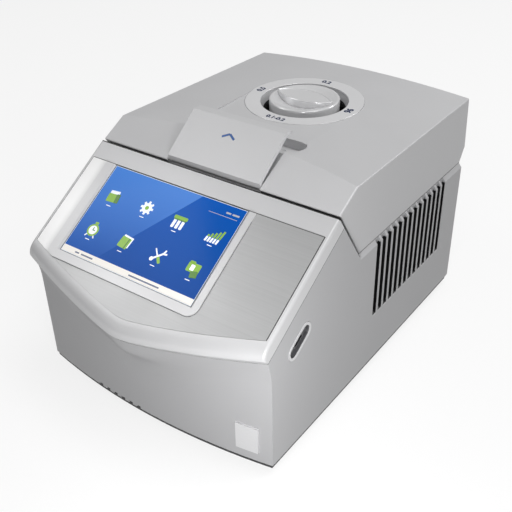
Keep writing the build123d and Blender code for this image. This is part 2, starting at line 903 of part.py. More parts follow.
def plate_carrier():
    half_x = block_width / 2 - 2
    half_y = block_depth / 2 - 2
    body = block_at(-half_x, half_x, dial_y - half_y, dial_y + half_y, carrier_bottom, carrier_top)
    for x, y in guide_places():
        inner, outer = sorted((x * 0.6, x))
        body += block_at(inner, outer, y - 8, y + 8, carrier_top - 5, carrier_top)
        body += rod_z(x, y, carrier_top - 5, carrier_top + 5, 8)
    for sx in (-1, 1):
        for sy in (-1, 1):
            x = sx * half_x / 2
            y = dial_y + sy * half_y / 2
            body -= block_at(x - 18, x + 18, y - 10, y + 10, carrier_bottom + 2.5, carrier_top + 1)
    for x, y in guide_places():
        body -= rod_z(x, y, carrier_top - 8, carrier_top + 8, guide_radius + slide_gap)
    body -= rod_z(0, dial_y, carrier_bottom - 1, carrier_top + 1, carrier_hub_radius)
    return body


def lead_nut():
    flange = rod_z(0, dial_y, carrier_bottom + 0.2, carrier_top, carrier_hub_radius)
    neck = rod_z(0, dial_y, carrier_top, carrier_top + carrier_hub_height, carrier_hub_radius - 3)
    hole = rod_z(0, dial_y, carrier_bottom - 1, carrier_top + 30, screw_radius + slide_gap)
    return flange + neck - hole


def guide_posts():
    posts = []
    for x, y in guide_places():
        post = rod_z(x, y, liner_top, carrier_top + 16, guide_radius)
        post += rod_z(x, y, liner_top, liner_top + 3, guide_radius + 3)
        posts.append(post)
    return Compound(children=posts)


# Latch

def pivot_place():
    return lid_point(pivot_u, pivot_n)


def keeper_place():
    # Centre of the keeper bar behind the console
    top_y, top_z = console_back()
    ny, nz = back_wall_normal()
    y = top_y + keeper_share * (console_foot_y - top_y) + keeper_reach * ny
    z = top_z + keeper_share * (rim_z - top_z) + keeper_reach * nz
    return y, z


def latch_keeper():
    top_y, top_z = console_back()
    ny, nz = back_wall_normal()
    wall_y = top_y + keeper_share * (console_foot_y - top_y)
    wall_z = top_z + keeper_share * (rim_z - top_z)
    y, z = keeper_place()
    plane = Plane(origin=(0, wall_y, wall_z), x_dir=(1, 0, 0), z_dir=(0, ny, nz))
    plate = plane * block_at(-keeper_half - 3, keeper_half + 3, -8, 8, 0, 1.6)
    bar = rod_x(-keeper_half - 1, keeper_half + 1, y, z, keeper_bar_radius)
    keeper = plate + bar
    for side in (-1, 1):
        inner, outer = sorted((side * keeper_half, side * (keeper_half + 2.5)))
        cheek = plane * block_at(inner, outer, -5, 5, 0, keeper_reach + keeper_bar_radius + 1)
        keeper += cheek
    return keeper


def handle_lip_points():
    # Outer and inner edge of the lip, bent level at the top of the pull plate
    tip_y, tip_z = lid_point(handle_tip_u, handle_tip_n)
    under_y, under_z = lid_point(handle_tip_u, handle_tip_n - handle_sheet)
    end_y = tip_y + handle_lip
    end_z = tip_z - handle_lip_drop
    return [(tip_y - 0.8, tip_z - 0.5), (tip_y + 0.6, tip_z - 0.05), (end_y, end_z),
            (end_y, end_z - handle_sheet + 0.6), (under_y + 1.2, under_z)]


def latch_handle():
    # Bent pull plate: short foot, long face and level lip
    slope = (handle_tip_n - handle_foot_n) / (handle_tip_u - handle_foot_u)
    foot = [(handle_foot_u + handle_sheet, handle_foot_n - handle_sheet + slope * handle_sheet),
            (handle_foot_u + handle_sheet - 1.2, handle_foot_n - handle_flange),
            (handle_foot_u - 1.2, handle_foot_n - handle_flange), (handle_foot_u, handle_foot_n)]
    outline = handle_lip_points() + [lid_point(u, n) for u, n in foot]
    plate = side_prism(outline, -handle_half, handle_half)
    for side in (-1, 1):
        x = side * hook_x
        post = [(11.0, latch_joint_n), (11.0, handle_foot_n + 8.0 * slope - 1.0),
                (19.0, handle_foot_n + 16.0 * slope - 1.0), (19.0, latch_joint_n)]
        post_world = [lid_point(u, n) for u, n in post]
        plate += side_prism(post_world, x - hook_width / 2, x + hook_width / 2)
    return plate


def hook_profile():
    # Hook in radial and tangential steps from the pivot to the keeper bar
    py, pz = pivot_place()
    ky, kz = keeper_place()
    reach = sqrt((ky - py) ** 2 + (kz - pz) ** 2)
    ry, rz = (ky - py) / reach, (kz - pz) / reach
    ty, tz = -rz, ry
    under = reach + keeper_bar_radius + 0.7
    side = keeper_bar_radius + 1.2
    steps = [(0, -4), (-1, 4), (6, side + 4), (under + 3.5, side + 4), (under + 3.5, -1.0),
             (under, -2.0), (under, side), (9, side), (5, -4)]
    return [(py + r * ry + t * ty, pz + r * rz + t * tz) for r, t in steps]


def latch_hooks():
    py, pz = pivot_place()
    hooks = []
    for side in (-1, 1):
        x0 = side * hook_x - hook_width / 2
        x1 = side * hook_x + hook_width / 2
        hook = side_prism(hook_profile(), x0, x1)
        link = [lid_point(u, n) for u, n in
                ((11.0, latch_joint_n), (19.0, latch_joint_n), (16.0, -16.0), (8.0, -14.0))]
        hook += side_prism(link, x0, x1) + rod_x(x0, x1, py, pz, pivot_boss)
        hook -= rod_x(x0 - 1, x1 + 1, py, pz, pivot_radius + running_gap)
        hooks.append(hook)
    return Compound(children=hooks)


def latch_pin():
    y, z = pivot_place()
    return rod_x(-hook_x - 14, hook_x + 14, y, z, pivot_radius)


def latch_ears():
    # Ears that carry the latch pin under the front slope of the lid
    py, pz = pivot_place()
    ears = []
    for x in (-hook_x - 10, hook_x + 10):
        points = [lid_point(u, n) for u, n in
                  ((pivot_u - 4, -pocket_depth - lid_wall), (pivot_u + 7, -pocket_depth - lid_wall),
                   (pivot_u + 5, pivot_n - 4), (pivot_u - 3, pivot_n - 4))]
        ear = side_prism(points, x - 2, x + 2)
        ears.append(ear - rod_x(x - 3, x + 3, py, pz, pivot_radius))
    return Compound(children=ears)


# Hinge

def hinge_brackets():
    brackets = []
    low = deck_bottom - 26
    back = rear_face - rear_sheet
    for side in (-1, 1):
        x0 = side * hinge_x - hinge_width / 2
        x1 = side * hinge_x + hinge_width / 2
        points = [(hinge_y - hinge_knuckle, hinge_z), (back - 6, lid_seat_z - 3), (back - 6, low),
                  (back, low), (back, rim_z), (hinge_y + hinge_knuckle, hinge_z)]
        bracket = side_prism(points, x0, x1)
        bracket += rod_x(x0, x1, hinge_y, hinge_z, hinge_knuckle)
        bracket -= rod_x(x0 - 1, x1 + 1, hinge_y, hinge_z, hinge_pin_radius + running_gap)
        brackets.append(bracket)
    return Compound(children=brackets)


def hinge_ear_places():
    reach = hinge_width / 2 + hinge_side_gap
    places = []
    for side in (-1, 1):
        for step in (-1, 1):
            inner = side * hinge_x + step * reach
            places.append(sorted((inner, inner + step * hinge_ear)))
    return places


def lid_hinge_arms():
    arms = []
    back = lid_back_y - lid_wall
    high = lid_top_z(hinge_x, lid_back_y) - lid_wall - 6
    for x0, x1 in hinge_ear_places():
        points = [(hinge_y - hinge_knuckle, hinge_z), (hinge_y - 14, hinge_z + 22),
                  (hinge_y - 14, high), (back, high), (back, hinge_z + 3),
                  (hinge_y + hinge_knuckle, hinge_z)]
        arm = side_prism(points, x0, x1)
        arm += rod_x(x0, x1, hinge_y, hinge_z, hinge_knuckle)
        arms.append(arm - rod_x(x0 - 1, x1 + 1, hinge_y, hinge_z, hinge_pin_radius))
    return Compound(children=arms)


def hinge_pins():
    reach = hinge_width / 2 + hinge_side_gap + hinge_ear
    return Compound(children=[rod_x(side * hinge_x - reach, side * hinge_x + reach,
                                    hinge_y, hinge_z, hinge_pin_radius) for side in (-1, 1)])


# Deck, sample block and cooling

def block_deck():
    half = half_width - housing_wall - 0.4
    front = console_foot_y + shelf_depth + 0.4
    back = rear_face - rear_sheet - 0.4
    deck = block_at(-half, half, front, back, deck_bottom, deck_top)
    half_x = block_width / 2 + gasket_width
    half_y = block_depth / 2 + gasket_width
    collar = block_at(-half_x - 3, half_x + 3, dial_y - half_y - 3, dial_y + half_y + 3,
                      deck_bottom - 6, deck_top)
    deck += collar
    deck -= block_at(-half_x, half_x, dial_y - half_y, dial_y + half_y, deck_bottom - 7, deck_top + 1)
    for side in (-1, 1):
        x = side * hinge_x
        reach = hinge_width / 2 + 1
        deck -= block_at(x - reach, x + reach, back - 8, back + 1, deck_bottom - 1, deck_top + 1)
    return deck


def block_gasket():
    # Soft seal between the block and the deck
    outer_x = block_width / 2 + gasket_width - 0.2
    outer_y = block_depth / 2 + gasket_width - 0.2
    inner_x = block_width / 2 + 0.2
    inner_y = block_depth / 2 + 0.2
    seal = block_at(-outer_x, outer_x, dial_y - outer_y, dial_y + outer_y, deck_bottom - 5, deck_top + 1)
    hole = block_at(-inner_x, inner_x, dial_y - inner_y, dial_y + inner_y, deck_bottom - 6, deck_top + 2)
    return seal - hole


def sample_block():
    # Aluminium block with its grid of conical wells
    half_x = block_width / 2
    half_y = block_depth / 2
    body = block_at(-half_x, half_x, dial_y - half_y, dial_y + half_y, block_bottom, block_top)
    body = fillet(body.edges().filter_by(Axis.Z), 3.0)
    well = Cone(well_tip, well_radius, well_depth)
    place = Pos(0, dial_y, block_top - well_depth / 2)
    grid = GridLocations(well_pitch, well_pitch, well_columns, well_rows)
    wells = [place * spot * well for spot in grid]
    return body - wells


def peltier_modules():
    pads = []
    for i in range(3):
        for j in range(2):
            x = (i - 1) * (peltier_size + 2)
            y = dial_y + (j - 0.5) * (peltier_size + 1)
            half = peltier_size / 2
            pads.append(block_at(x - half, x + half, y - half, y + half, sink_top, block_bottom))
    return Compound(children=pads)


def heatsink():
    half_x = sink_width / 2
    half_y = sink_depth / 2
    base = block_at(-half_x, half_x, dial_y - half_y, dial_y + half_y, sink_top - sink_base, sink_top)
    pitch = (sink_width - sink_fin) / (sink_fin_count - 1)
    for i in range(sink_fin_count):
        x = -half_x + i * pitch
        base += block_at(x, x + sink_fin, dial_y - half_y, dial_y + half_y,
                         sink_top - sink_base - sink_fin_height, sink_top - sink_base)
    return base


def heatsink_posts():
    # Four pillars that carry the heat sink on the tray
    posts = []
    top = sink_top - sink_base - sink_fin_height
    bottom = foot_height + 3.0
    for sx in (-1, 1):
        for sy in (-1, 1):
            x = sx * (sink_width / 2 - 8)
            y = dial_y + sy * (sink_depth / 2 - 8)
            posts.append(rod_z(x, y, bottom, top, 5.0))
    return Compound(children=posts)


def vent_screens():
    # Dark mesh sheets behind the side slots
    sheets = []
    x0 = half_width - housing_wall - 0.2
    for side in (-1, 1):
        inner, outer = sorted((side * x0, side * (x0 - screen_sheet)))
        sheets.append(block_at(inner, outer, vent_front_y - 6, vent_back_y + 6,
                               vent_bottom_z - 8, deck_bottom - 4))
    return Compound(children=sheets)


# Electronics

def power_supply():
    # Boxed supply on four legs, with slots in its top
    low = foot_height + 3.0
    x0 = housing_wall + supply_from_wall - half_width
    x1 = x0 + supply_width
    y0 = supply_front_y
    y1 = y0 + supply_depth
    top = low + supply_leg + supply_height
    case = block_at(x0, x1, y0, y1, low + supply_leg, top)
    for i in range(9):
        y = y0 + 12 + i * 12
        case -= block_at(x0 + 6, x1 - 6, y, y + 6, top - 3, top + 1)
    for y in (y0 + 12, y1 - 12):
        for x in (x0 + 8, x1 - 8):
            case += rod_z(x, y, low, low + supply_leg, 3.0)
    return case


def main_board():
    # Board on four legs, with its large parts
    low = foot_height + 3.0
    x1 = half_width - housing_wall - board_from_wall
    x0 = x1 - board_width
    y0 = board_front_y
    y1 = y0 + board_depth
    face = low + board_leg + board_thickness
    board = block_at(x0, x1, y0, y1, low + board_leg, face)
    for x in (x0 + 6, x1 - 6):
        for y in (y0 + 6, y1 - 6):
            board += rod_z(x, y, low, low + board_leg, 3.0)
    board += block_at(x0 + 20, x0 + 60, y0 + 30, y0 + 70, face, face + 9.4)
    board += block_at(x0 + 80, x0 + 106, y0 + 20, y0 + 32, face, face + 8.4)
    board += block_at(x0 + 80, x0 + 106, y0 + 50, y0 + 62, face, face + 8.4)
    for i in range(5):
        board += rod_z(x0 + 125, y0 + 20 + 20 * i, face, face + 15.4, 6.0)
    return board


# Fans

def fan_back():
    return rear_face - rear_sheet


def fan_frame(x):
    z = fan_z
    back = fan_back()
    half = fan_size / 2
    frame = block_at(x - half, x + half, back - fan_depth, back, z - half, z + half)
    frame = fillet(frame.edges().filter_by(Axis.Y), 5.0)
    frame -= rod_y(x, z, back - fan_depth - 1, back + 1, fan_bore)
    hub = rod_y(x, z, back - fan_hub_thickness, back, fan_hub)
    for i in range(3):
        strut = Pos(0, back - 2, 0) * Box(fan_bore + 1, 4, 4, align=(Align.MIN, Align.CENTER, Align.CENTER))
        hub += Pos(x, 0, z) * Rot(0, 90 + 120 * i, 0) * strut
    shaft = rod_y(x, z, back - fan_hub_thickness - 6, back, fan_shaft_radius)
    return frame + hub + shaft


def fan_rotor(x):
    z = fan_z
    front = fan_back() - fan_depth + 1.5
    back = fan_back() - fan_hub_thickness - slide_gap
    tip = fan_bore - fan_tip_gap
    hub = rod_y(0, 0, front, back, fan_hub)
    hub = fillet(hub.edges().group_by(Axis.Y)[0], 2.5)
    span = back - front - 1
    for i in range(fan_blades):
        blade = Pos((fan_hub + tip) / 2 - 0.5, (front + back) / 2, 0) * Rot(48, 0, 0) * Box(
            tip - fan_hub + 1, span * 1.2, 1.6)
        hub += Rot(0, i * 360 / fan_blades, 0) * blade
    hub &= rod_y(0, 0, front, back, tip)
    hub -= rod_y(0, 0, back - 7, back + 1, fan_shaft_radius + running_gap)
    return Pos(x, 0, z) * hub


def fan_guards():
    # Flat ringed finger guards on the outside of the rear panel
    guards = []
    half = guard_wire / 2
    z = fan_z
    for x in fan_xs:
        guard = rod_y(x, z, rear_face, rear_face + guard_wire, 7)
        for radius in guard_rings:
            ring = rod_y(x, z, rear_face, rear_face + guard_wire, radius + half)
            guard += ring - rod_y(x, z, rear_face - 1, rear_face + guard_wire + 1, radius - half)
        reach = fan_size / 2 * 1.25
        bar = Pos(0, rear_face + guard_wire / 2, 0) * Box(2 * reach, guard_wire, 3)
        for turn in (45, 135):
            guard += Pos(x, 0, z) * Rot(0, turn, 0) * bar
        guards.append(guard)
    return Compound(children=guards)


# Mains inlet, switch, USB socket and badge

def inlet_socket():
    back = rear_face
    w = inlet_width / 2 - 0.2
    h = inlet_height / 2 - 0.2
    z = inlet_z()
    body = block_at(inlet_x - w, inlet_x + w, back - inlet_depth, back, z - h, z + h)
    flange = block_at(inlet_x - w - 3, inlet_x + w + 3, back, back + 2.5, z - h - 3, z + h + 3)
    flange = fillet(flange.edges().filter_by(Axis.Y), 3.0)
    body += flange
    room = block_at(inlet_x - w + 2, inlet_x + w - 2, back - inlet_depth + 4, back + 3, z - h + 2, z + h - 2)
    room = chamfer(room.edges().filter_by(Axis.Y).group_by(Axis.Z)[-1], 4.0)
    body -= room
    for dx, dz in ((-7, -2), (0, 2), (7, -2)):
        body += block_at(inlet_x + dx - 1, inlet_x + dx + 1, back - inlet_depth + 3, back - 3,
                         z + dz - 2, z + dz + 2)
    return body


def switch_frame():
    z = switch_z()
    w = switch_width / 2 - 0.2
    h = switch_height / 2 - 0.2
    body = block_at(inlet_x - w, inlet_x + w, rear_face - 16, rear_face, z - h, z + h)
    body += block_at(inlet_x - w - 1.5, inlet_x + w + 1.5, rear_face, rear_face + 1.5,
                     z - h - 1.5, z + h + 1.5)
    body -= block_at(inlet_x - w + 1.5, inlet_x + w - 1.5, rear_face - 13, rear_face + 2,
                     z - h + 1.5, z + h - 1.5)
    return body + rod_x(inlet_x - w + 1, inlet_x + w - 1, rocker_y(), z, rocker_pin_radius)


def rocker_y():
    return rear_face - rocker_sink


def power_rocker():
    # Two-faced rocker on a cross pin through its middle
    z = switch_z()
    half = switch_height / 2 - 2.1
    wide = switch_width / 2 - 2.1
    y = rocker_y()
    points = [(y - 4, z - 4), (y - 4, z + 4), (y + 4.6, z + half - 0.6), (y + 3.4, z),
              (y + 2.4, z - half + 0.4)]
    rocker = side_prism(points, inlet_x - wide, inlet_x + wide)
    return rocker - rod_x(inlet_x - wide - 1, inlet_x + wide + 1, y, z, rocker_pin_radius + running_gap)


def usb_trim():
    # Dark recessed surround of the socket
    rim = usb_plane(housing_wall + 0.0) * stadium_cut(usb_length - 0.4, usb_height - 0.4, housing_wall + 0.4)
    dip = usb_plane(usb_recess) * stadium_cut(usb_length - 2 * usb_rim - 2, usb_height - 2 * usb_rim - 2, 9)
    port = Rectangle(usb_port_width + 0.3, usb_port_height + 0.3)
    hole = usb_plane(20) * extrude(port, 30)
    return rim - dip - hole


def usb_port():
    outer = extrude(Rectangle(usb_port_width, usb_port_height), usb_port_depth)
    inner = extrude(Rectangle(usb_port_width - 1.2, usb_port_height - 1.2), usb_port_depth)
    tongue = Pos(0, 1.0, 1) * extrude(Rectangle(usb_port_width - 3, 1.6), usb_port_depth - 3)
    shell = outer - Pos(0, 0, 1.5) * inner
    return usb_plane(usb_recess + usb_port_depth - 0.4) * (shell + tongue)


def badge_plate():
    # Bare plate that follows the curve of the front
    z = housing_z + badge_rise
    outer = front_form(-badge_thickness)
    inner = front_form(0.0)
    window = block_at(badge_x - badge_width / 2, badge_x + badge_width / 2, wall_y(badge_x) - 10,
                      wall_y(badge_x) + 10, z - badge_height / 2, z + badge_height / 2)
    return (window & outer) - inner


def all_nodes():
    return {
        "base_tray": base_tray(),
        "base_housing": base_housing(),
        "rear_panel": rear_panel(),
        "rubber_feet": rubber_feet(),
        "console_moulding": console_moulding(),
        "console_overlay": console_overlay(),
        "display_frame": display_frame(),
        "touch_glass": touch_glass(),
        "display_panel": display_panel(),
        "display_board": display_board(),
        "main_board": main_board(),
        "power_supply": power_supply(),
        "inlet_socket": inlet_socket(),
        "switch_frame": switch_frame(),
        "power_rocker": power_rocker(),
        "fan_frame_left": fan_frame(fan_xs[0]),
        "fan_frame_right": fan_frame(fan_xs[1]),
        "fan_rotor_left": fan_rotor(fan_xs[0]),
        "fan_rotor_right": fan_rotor(fan_xs[1]),
        "fan_guards": fan_guards(),
        "vent_screens": vent_screens(),
        "usb_trim": usb_trim(),
        "usb_port": usb_port(),
        "badge_plate": badge_plate(),
        "block_deck": block_deck(),
        "block_gasket": block_gasket(),
        "sample_block": sample_block(),
        "peltier_modules": peltier_modules(),
        "heatsink": heatsink(),
        "heatsink_posts": heatsink_posts(),
        "latch_keeper": latch_keeper(),
        "hinge_brackets": hinge_brackets(),
        "lid_shell": lid_shell(),
        "lid_liner": lid_liner(),
        "lid_hinge_arms": lid_hinge_arms(),
        "hinge_pins": hinge_pins(),
        "dial_ring": dial_ring(),
        "dial_bowl": dial_bowl(),
        "spindle_bush": spindle_bush(),
        "guide_posts": guide_posts(),
        "latch_ears": latch_ears(),
        "latch_pin": latch_pin(),
        "latch_handle": latch_handle(),
        "latch_hooks": latch_hooks(),
        "tightening_knob": tightening_knob(),
        "lead_screw": lead_screw(),
        "plate_carrier": plate_carrier(),
        "lead_nut": lead_nut(),
        "heater_film": heater_film(),
        "heated_plate": heated_plate(),
    }


# The origin is under the middle of the whole part, on the surface it stands on
nodes = all_nodes()
front_most = min(node.bounding_box().min.Y for node in nodes.values())
back_most = max(node.bounding_box().max.Y for node in nodes.values())
middle_y = (front_most + back_most) / 2
os.makedirs("parts", exist_ok=True)
for name, node in nodes.items():
    export_step(Pos(0, -middle_y, 0) * node, f"parts/{name}.step")
print("middle_y", round(middle_y, 4))
print("hinge", round(hinge_y - middle_y, 4), round(hinge_z, 4))
print("latch pivot", round(pivot_place()[0] - middle_y, 4), round(pivot_place()[1], 4))
print("dial_y", round(dial_y - middle_y, 4), "pan_z", round(pan_z, 4))
print("fan z", round(fan_z, 4), "switch", round(rocker_y() - middle_y, 4), switch_z())
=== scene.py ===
import math

import bpy
from mathutils import Matrix, Vector


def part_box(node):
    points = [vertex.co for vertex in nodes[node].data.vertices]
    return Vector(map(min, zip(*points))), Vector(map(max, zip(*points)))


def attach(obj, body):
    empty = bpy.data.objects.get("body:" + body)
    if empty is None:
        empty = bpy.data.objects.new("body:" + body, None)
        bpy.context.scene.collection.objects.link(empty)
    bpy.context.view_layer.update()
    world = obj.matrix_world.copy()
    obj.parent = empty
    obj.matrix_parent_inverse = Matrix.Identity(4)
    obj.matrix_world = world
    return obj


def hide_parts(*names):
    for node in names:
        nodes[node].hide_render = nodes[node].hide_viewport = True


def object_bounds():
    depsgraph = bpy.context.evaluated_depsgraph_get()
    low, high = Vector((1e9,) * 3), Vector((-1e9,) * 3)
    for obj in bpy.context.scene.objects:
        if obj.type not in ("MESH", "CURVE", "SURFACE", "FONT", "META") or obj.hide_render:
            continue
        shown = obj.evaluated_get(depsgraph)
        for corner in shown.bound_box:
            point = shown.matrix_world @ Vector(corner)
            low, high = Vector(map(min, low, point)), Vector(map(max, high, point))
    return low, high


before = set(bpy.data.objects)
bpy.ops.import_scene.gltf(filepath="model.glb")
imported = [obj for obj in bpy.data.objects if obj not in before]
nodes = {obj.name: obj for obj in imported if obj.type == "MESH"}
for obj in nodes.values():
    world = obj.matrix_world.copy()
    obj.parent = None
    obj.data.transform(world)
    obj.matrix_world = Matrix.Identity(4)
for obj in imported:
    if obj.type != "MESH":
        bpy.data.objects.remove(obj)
cadLow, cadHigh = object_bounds()
mm = 0.001
sideLength = 0.345
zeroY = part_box("base_housing")[1].y - sideLength  # row Y of the front edge of the sides


# Places on the object, given in millimetres
consoleSettings = {"slope": 31.7, "backY": 96.9, "backZ": 206.3, "thickness": 13.6}
screenSettings = {"x": -21.8, "u": -67.1, "width": 151.0, "height": 94.2, "glassMargin": 0.2}
dialSettings = {"y": 247.8}
sideSettings = {"rimZ": 150.4, "footY": 133.4}


def place(x, y, z):
    return Vector((x * mm, y * mm + zeroY, z * mm))


def slopeMatrix(settings, x, u, n):
    # Flat X and Y of a drawing laid on a slope, at x, u up the slope and n out of it
    a = math.radians(settings["slope"])
    up = Vector((0, math.cos(a), math.sin(a)))
    out = Vector((0, -math.sin(a), math.cos(a)))
    start = place(x, settings["backY"], settings["backZ"]) + up * u * mm + out * n * mm
    turn = Matrix((Vector((1, 0, 0)), up, out)).transposed().to_4x4()
    return Matrix.Translation(start) @ turn


def onScreen(x, y, lift=0.25):
    return slopeMatrix(consoleSettings, screenSettings["x"] + x, screenSettings["u"] + y, lift)


def slopePlane(settings, n):
    # Normal and distance of a plane at height n over a slope, for masks
    a = math.radians(settings["slope"])
    normal = Vector((0, -math.sin(a), math.cos(a)))
    start = place(0, settings["backY"], settings["backZ"]) + normal * n * mm
    return normal, normal.dot(start)


def backWallPlane():
    # The sloping joint between console and lid
    a = math.radians(consoleSettings["slope"])
    t = consoleSettings["thickness"]
    topY = consoleSettings["backY"] + t * math.sin(a)
    topZ = consoleSettings["backZ"] - t * math.cos(a)
    along = Vector((0, sideSettings["footY"] - topY, sideSettings["rimZ"] - topZ)).normalized()
    normal = Vector((0, -along.z, along.y))
    return normal, normal.dot(place(0, topY, topZ))


# Node helpers
def mathNode(tree, operation, first, second=None, third=None):
    # A Math node whose inputs are numbers or sockets
    node = tree.nodes.new("ShaderNodeMath")
    node.operation = operation
    for i, value in enumerate((first, second, third)):
        if value is None:
            continue
        if isinstance(value, (int, float)):
            node.inputs[i].default_value = value
        else:
            tree.links.new(value, node.inputs[i])
    return node.outputs[0]


def swingNode(tree, noise, amount):
    # A noise about nought, with its full swing scaled
    return mathNode(tree, "MULTIPLY", mathNode(tree, "SUBTRACT", noise, 0.5), amount)


def colourMix(tree, factor, first, second, blend="MIX"):
    # A colour Mix node whose inputs are colours or sockets
    node = tree.nodes.new("ShaderNodeMix")
    node.data_type = "RGBA"
    node.blend_type = blend
    for socket, value in ((node.inputs[0], factor), (node.inputs[6], first), (node.inputs[7], second)):
        if isinstance(value, (int, float)):
            socket.default_value = value
        elif isinstance(value, tuple):
            socket.default_value = (*value, 1.0)
        else:
            tree.links.new(value, socket)
    return node.outputs[2]


def shaded(tree, colour, shade):
    return colourMix(tree, 1.0, colour, shade, "MULTIPLY")


# Camera at the photograph's viewpoint
cameraSettings = {
    "azimuth": 36.62,
    "elevation": 33.45,
    "roll": -1.35,
    "distance": 0.81118,
    "target": (0.0, 0.1614824, 0.08668),
    "focalPixels": 802.6,
    "imagePixels": 512,
    "sensor": 36.0,
    "clip": (0.01, 50.0),
}


def addCamera(settings):
    azimuth = math.radians(settings["azimuth"])
    elevation = math.radians(settings["elevation"])
    roll = math.radians(settings["roll"])
    back = Vector((math.sin(azimuth) * math.cos(elevation), -math.cos(azimuth) * math.cos(elevation),
                   math.sin(elevation)))
    right = (-back).cross(Vector((0, 0, 1))).normalized()
    up = right.cross(-back).normalized()
    turnedRight = right * math.cos(roll) + up * math.sin(roll)
    turnedUp = -right * math.sin(roll) + up * math.cos(roll)
    aim = Vector(settings["target"]) + Vector((0, zeroY, 0))
    bpy.ops.object.camera_add()
    camera = bpy.context.object
    camera.name = "photoCamera"
    camera.data.sensor_width = settings["sensor"]
    camera.data.lens = settings["focalPixels"] / settings["imagePixels"] * settings["sensor"]
    camera.data.clip_start, camera.data.clip_end = settings["clip"]
    turn = Matrix((turnedRight, turnedUp, back)).transposed()
    camera.matrix_world = Matrix.Translation(aim + back * settings["distance"]) @ turn.to_4x4()
    bpy.context.scene.camera = camera


addCamera(cameraSettings)
print("camera set")


# Studio
studioSettings = {
    "floorSize": 12.0,
    "floorColour": (0.9, 0.9, 0.9),
    "floorBounce": (0.12, 0.12, 0.12),
    "floorSeen": (1.0, 1.0, 1.0, 1.0),
    "floorWhite": 0.8,
    "floorRoughness": 0.9,
    "floorSpecular": 0.1,
    "worldColour": (1.0, 1.0, 1.0, 1.0),
    "worldStrength": 0.24,
    "worldSeen": 0.9,
    "lamps": (
        ("keyLamp", (0.28, -0.39, 0.19), (0.1, -0.14, 0.08), 0.12, 1.05),
        ("topLamp", (0.5, 0.3, 2.2), (0.0, 0.05, 0.15), 1.0, 22.0),
        ("leftLamp", (-1.2, -0.6, 1.6), (0.0, -0.05, 0.15), 0.5, 3.0),
        ("backLamp", (1.15, 1.4, 1.2), (0.0, 0.1, 0.12), 0.7, 8.0),
    ),
}


def addFloor(settings):
    bpy.ops.object.select_all(action="DESELECT")
    bpy.ops.mesh.primitive_plane_add(size=settings["floorSize"], location=(0, 0, cadLow.z))
    floor = bpy.context.object
    floor.name = "studioFloor"
    bpy.ops.object.transform_apply(location=True, rotation=True, scale=True)
    material = bpy.data.materials.new("studioFloorPaint")
    material.use_nodes = True
    tree = material.node_tree
    shader = tree.nodes["Principled BSDF"]
    output = tree.nodes["Material Output"]
    shader.inputs["Roughness"].default_value = settings["floorRoughness"]
    shader.inputs["Specular IOR Level"].default_value = settings["floorSpecular"]
    glow = tree.nodes.new("ShaderNodeEmission")
    glow.inputs["Color"].default_value = settings["floorSeen"]
    path = tree.nodes.new("ShaderNodeLightPath")
    paint = colourMix(tree, path.outputs["Is Camera Ray"], settings["floorBounce"], settings["floorColour"])
    tree.links.new(paint, shader.inputs["Base Color"])
    rays = [path.outputs[f"Is {kind} Ray"] for kind in ("Camera", "Glossy", "Transmission")]
    shares = [mathNode(tree, "MULTIPLY", ray, settings["floorWhite"]) for ray in rays]
    seen = mathNode(tree, "MAXIMUM", mathNode(tree, "MAXIMUM", shares[0], shares[1]), shares[2])
    mix = tree.nodes.new("ShaderNodeMixShader")
    tree.links.new(seen, mix.inputs[0])
    tree.links.new(shader.outputs[0], mix.inputs[1])
    tree.links.new(glow.outputs[0], mix.inputs[2])
    tree.links.new(mix.outputs[0], output.inputs["Surface"])
    floor.data.materials.append(material)


def addLamp(name, spot, aim, size, power):
    bpy.ops.object.light_add(type="AREA", location=spot)
    lamp = bpy.context.object
    lamp.name = name
    lamp.data.shape = "SQUARE"
    lamp.data.size = size
    lamp.data.energy = power
    lamp.visible_camera = False
    lamp.rotation_mode = "QUATERNION"
    lamp.rotation_quaternion = (Vector(aim) - Vector(spot)).to_track_quat("-Z", "Y")


def setWorld(settings):
    world = bpy.data.worlds.new("studioWorld")
    bpy.context.scene.world = world
    world.use_nodes = True
    tree = world.node_tree
    tree.nodes.clear()
    output = tree.nodes.new("ShaderNodeOutputWorld")
    mix = tree.nodes.new("ShaderNodeMixShader")
    path = tree.nodes.new("ShaderNodeLightPath")
    tree.links.new(path.outputs["Is Camera Ray"], mix.inputs[0])
    for i, strength in enumerate((settings["worldStrength"], settings["worldSeen"]), 1):
        light = tree.nodes.new("ShaderNodeBackground")
        light.inputs["Color"].default_value = settings["worldColour"]
        light.inputs["Strength"].default_value = strength
        tree.links.new(light.outputs[0], mix.inputs[i])
    tree.links.new(mix.outputs[0], output.inputs[0])


addFloor(studioSettings)
for lampRow in studioSettings["lamps"]:
    addLamp(*lampRow)
setWorld(studioSettings)
bpy.context.scene.view_settings.view_transform = "Standard"
print("studio set")


# Shared effects, as node groups
def newGroup(name, inputs, outputs):
    group = bpy.data.node_groups.new(name, "ShaderNodeTree")
    for label, kind, value in inputs:
        socket = group.interface.new_socket(name=label, in_out="INPUT", socket_type=kind)
        socket.default_value = value
    for label, kind in outputs:
        group.interface.new_socket(name=label, in_out="OUTPUT", socket_type=kind)
    start = group.nodes.new("NodeGroupInput")
    end = group.nodes.new("NodeGroupOutput")
    return group, start, end


def noiseNode(tree, vector, scale, detail=3.0, rough=0.5):
    node = tree.nodes.new("ShaderNodeTexNoise")
    node.inputs["Detail"].default_value = detail
    node.inputs["Roughness"].default_value = rough
    if isinstance(scale, (int, float)):
        node.inputs["Scale"].default_value = scale
    else:
        tree.links.new(scale, node.inputs["Scale"])
    tree.links.new(vector, node.inputs["Vector"])
    return node.outputs["Fac"]


def objectSpot(tree):
    return tree.nodes.new("ShaderNodeTexCoord").outputs["Object"]


def splitParts(tree, vector):
    parts = tree.nodes.new("ShaderNodeSeparateXYZ")
    tree.links.new(vector, parts.inputs[0])
    return parts.outputs


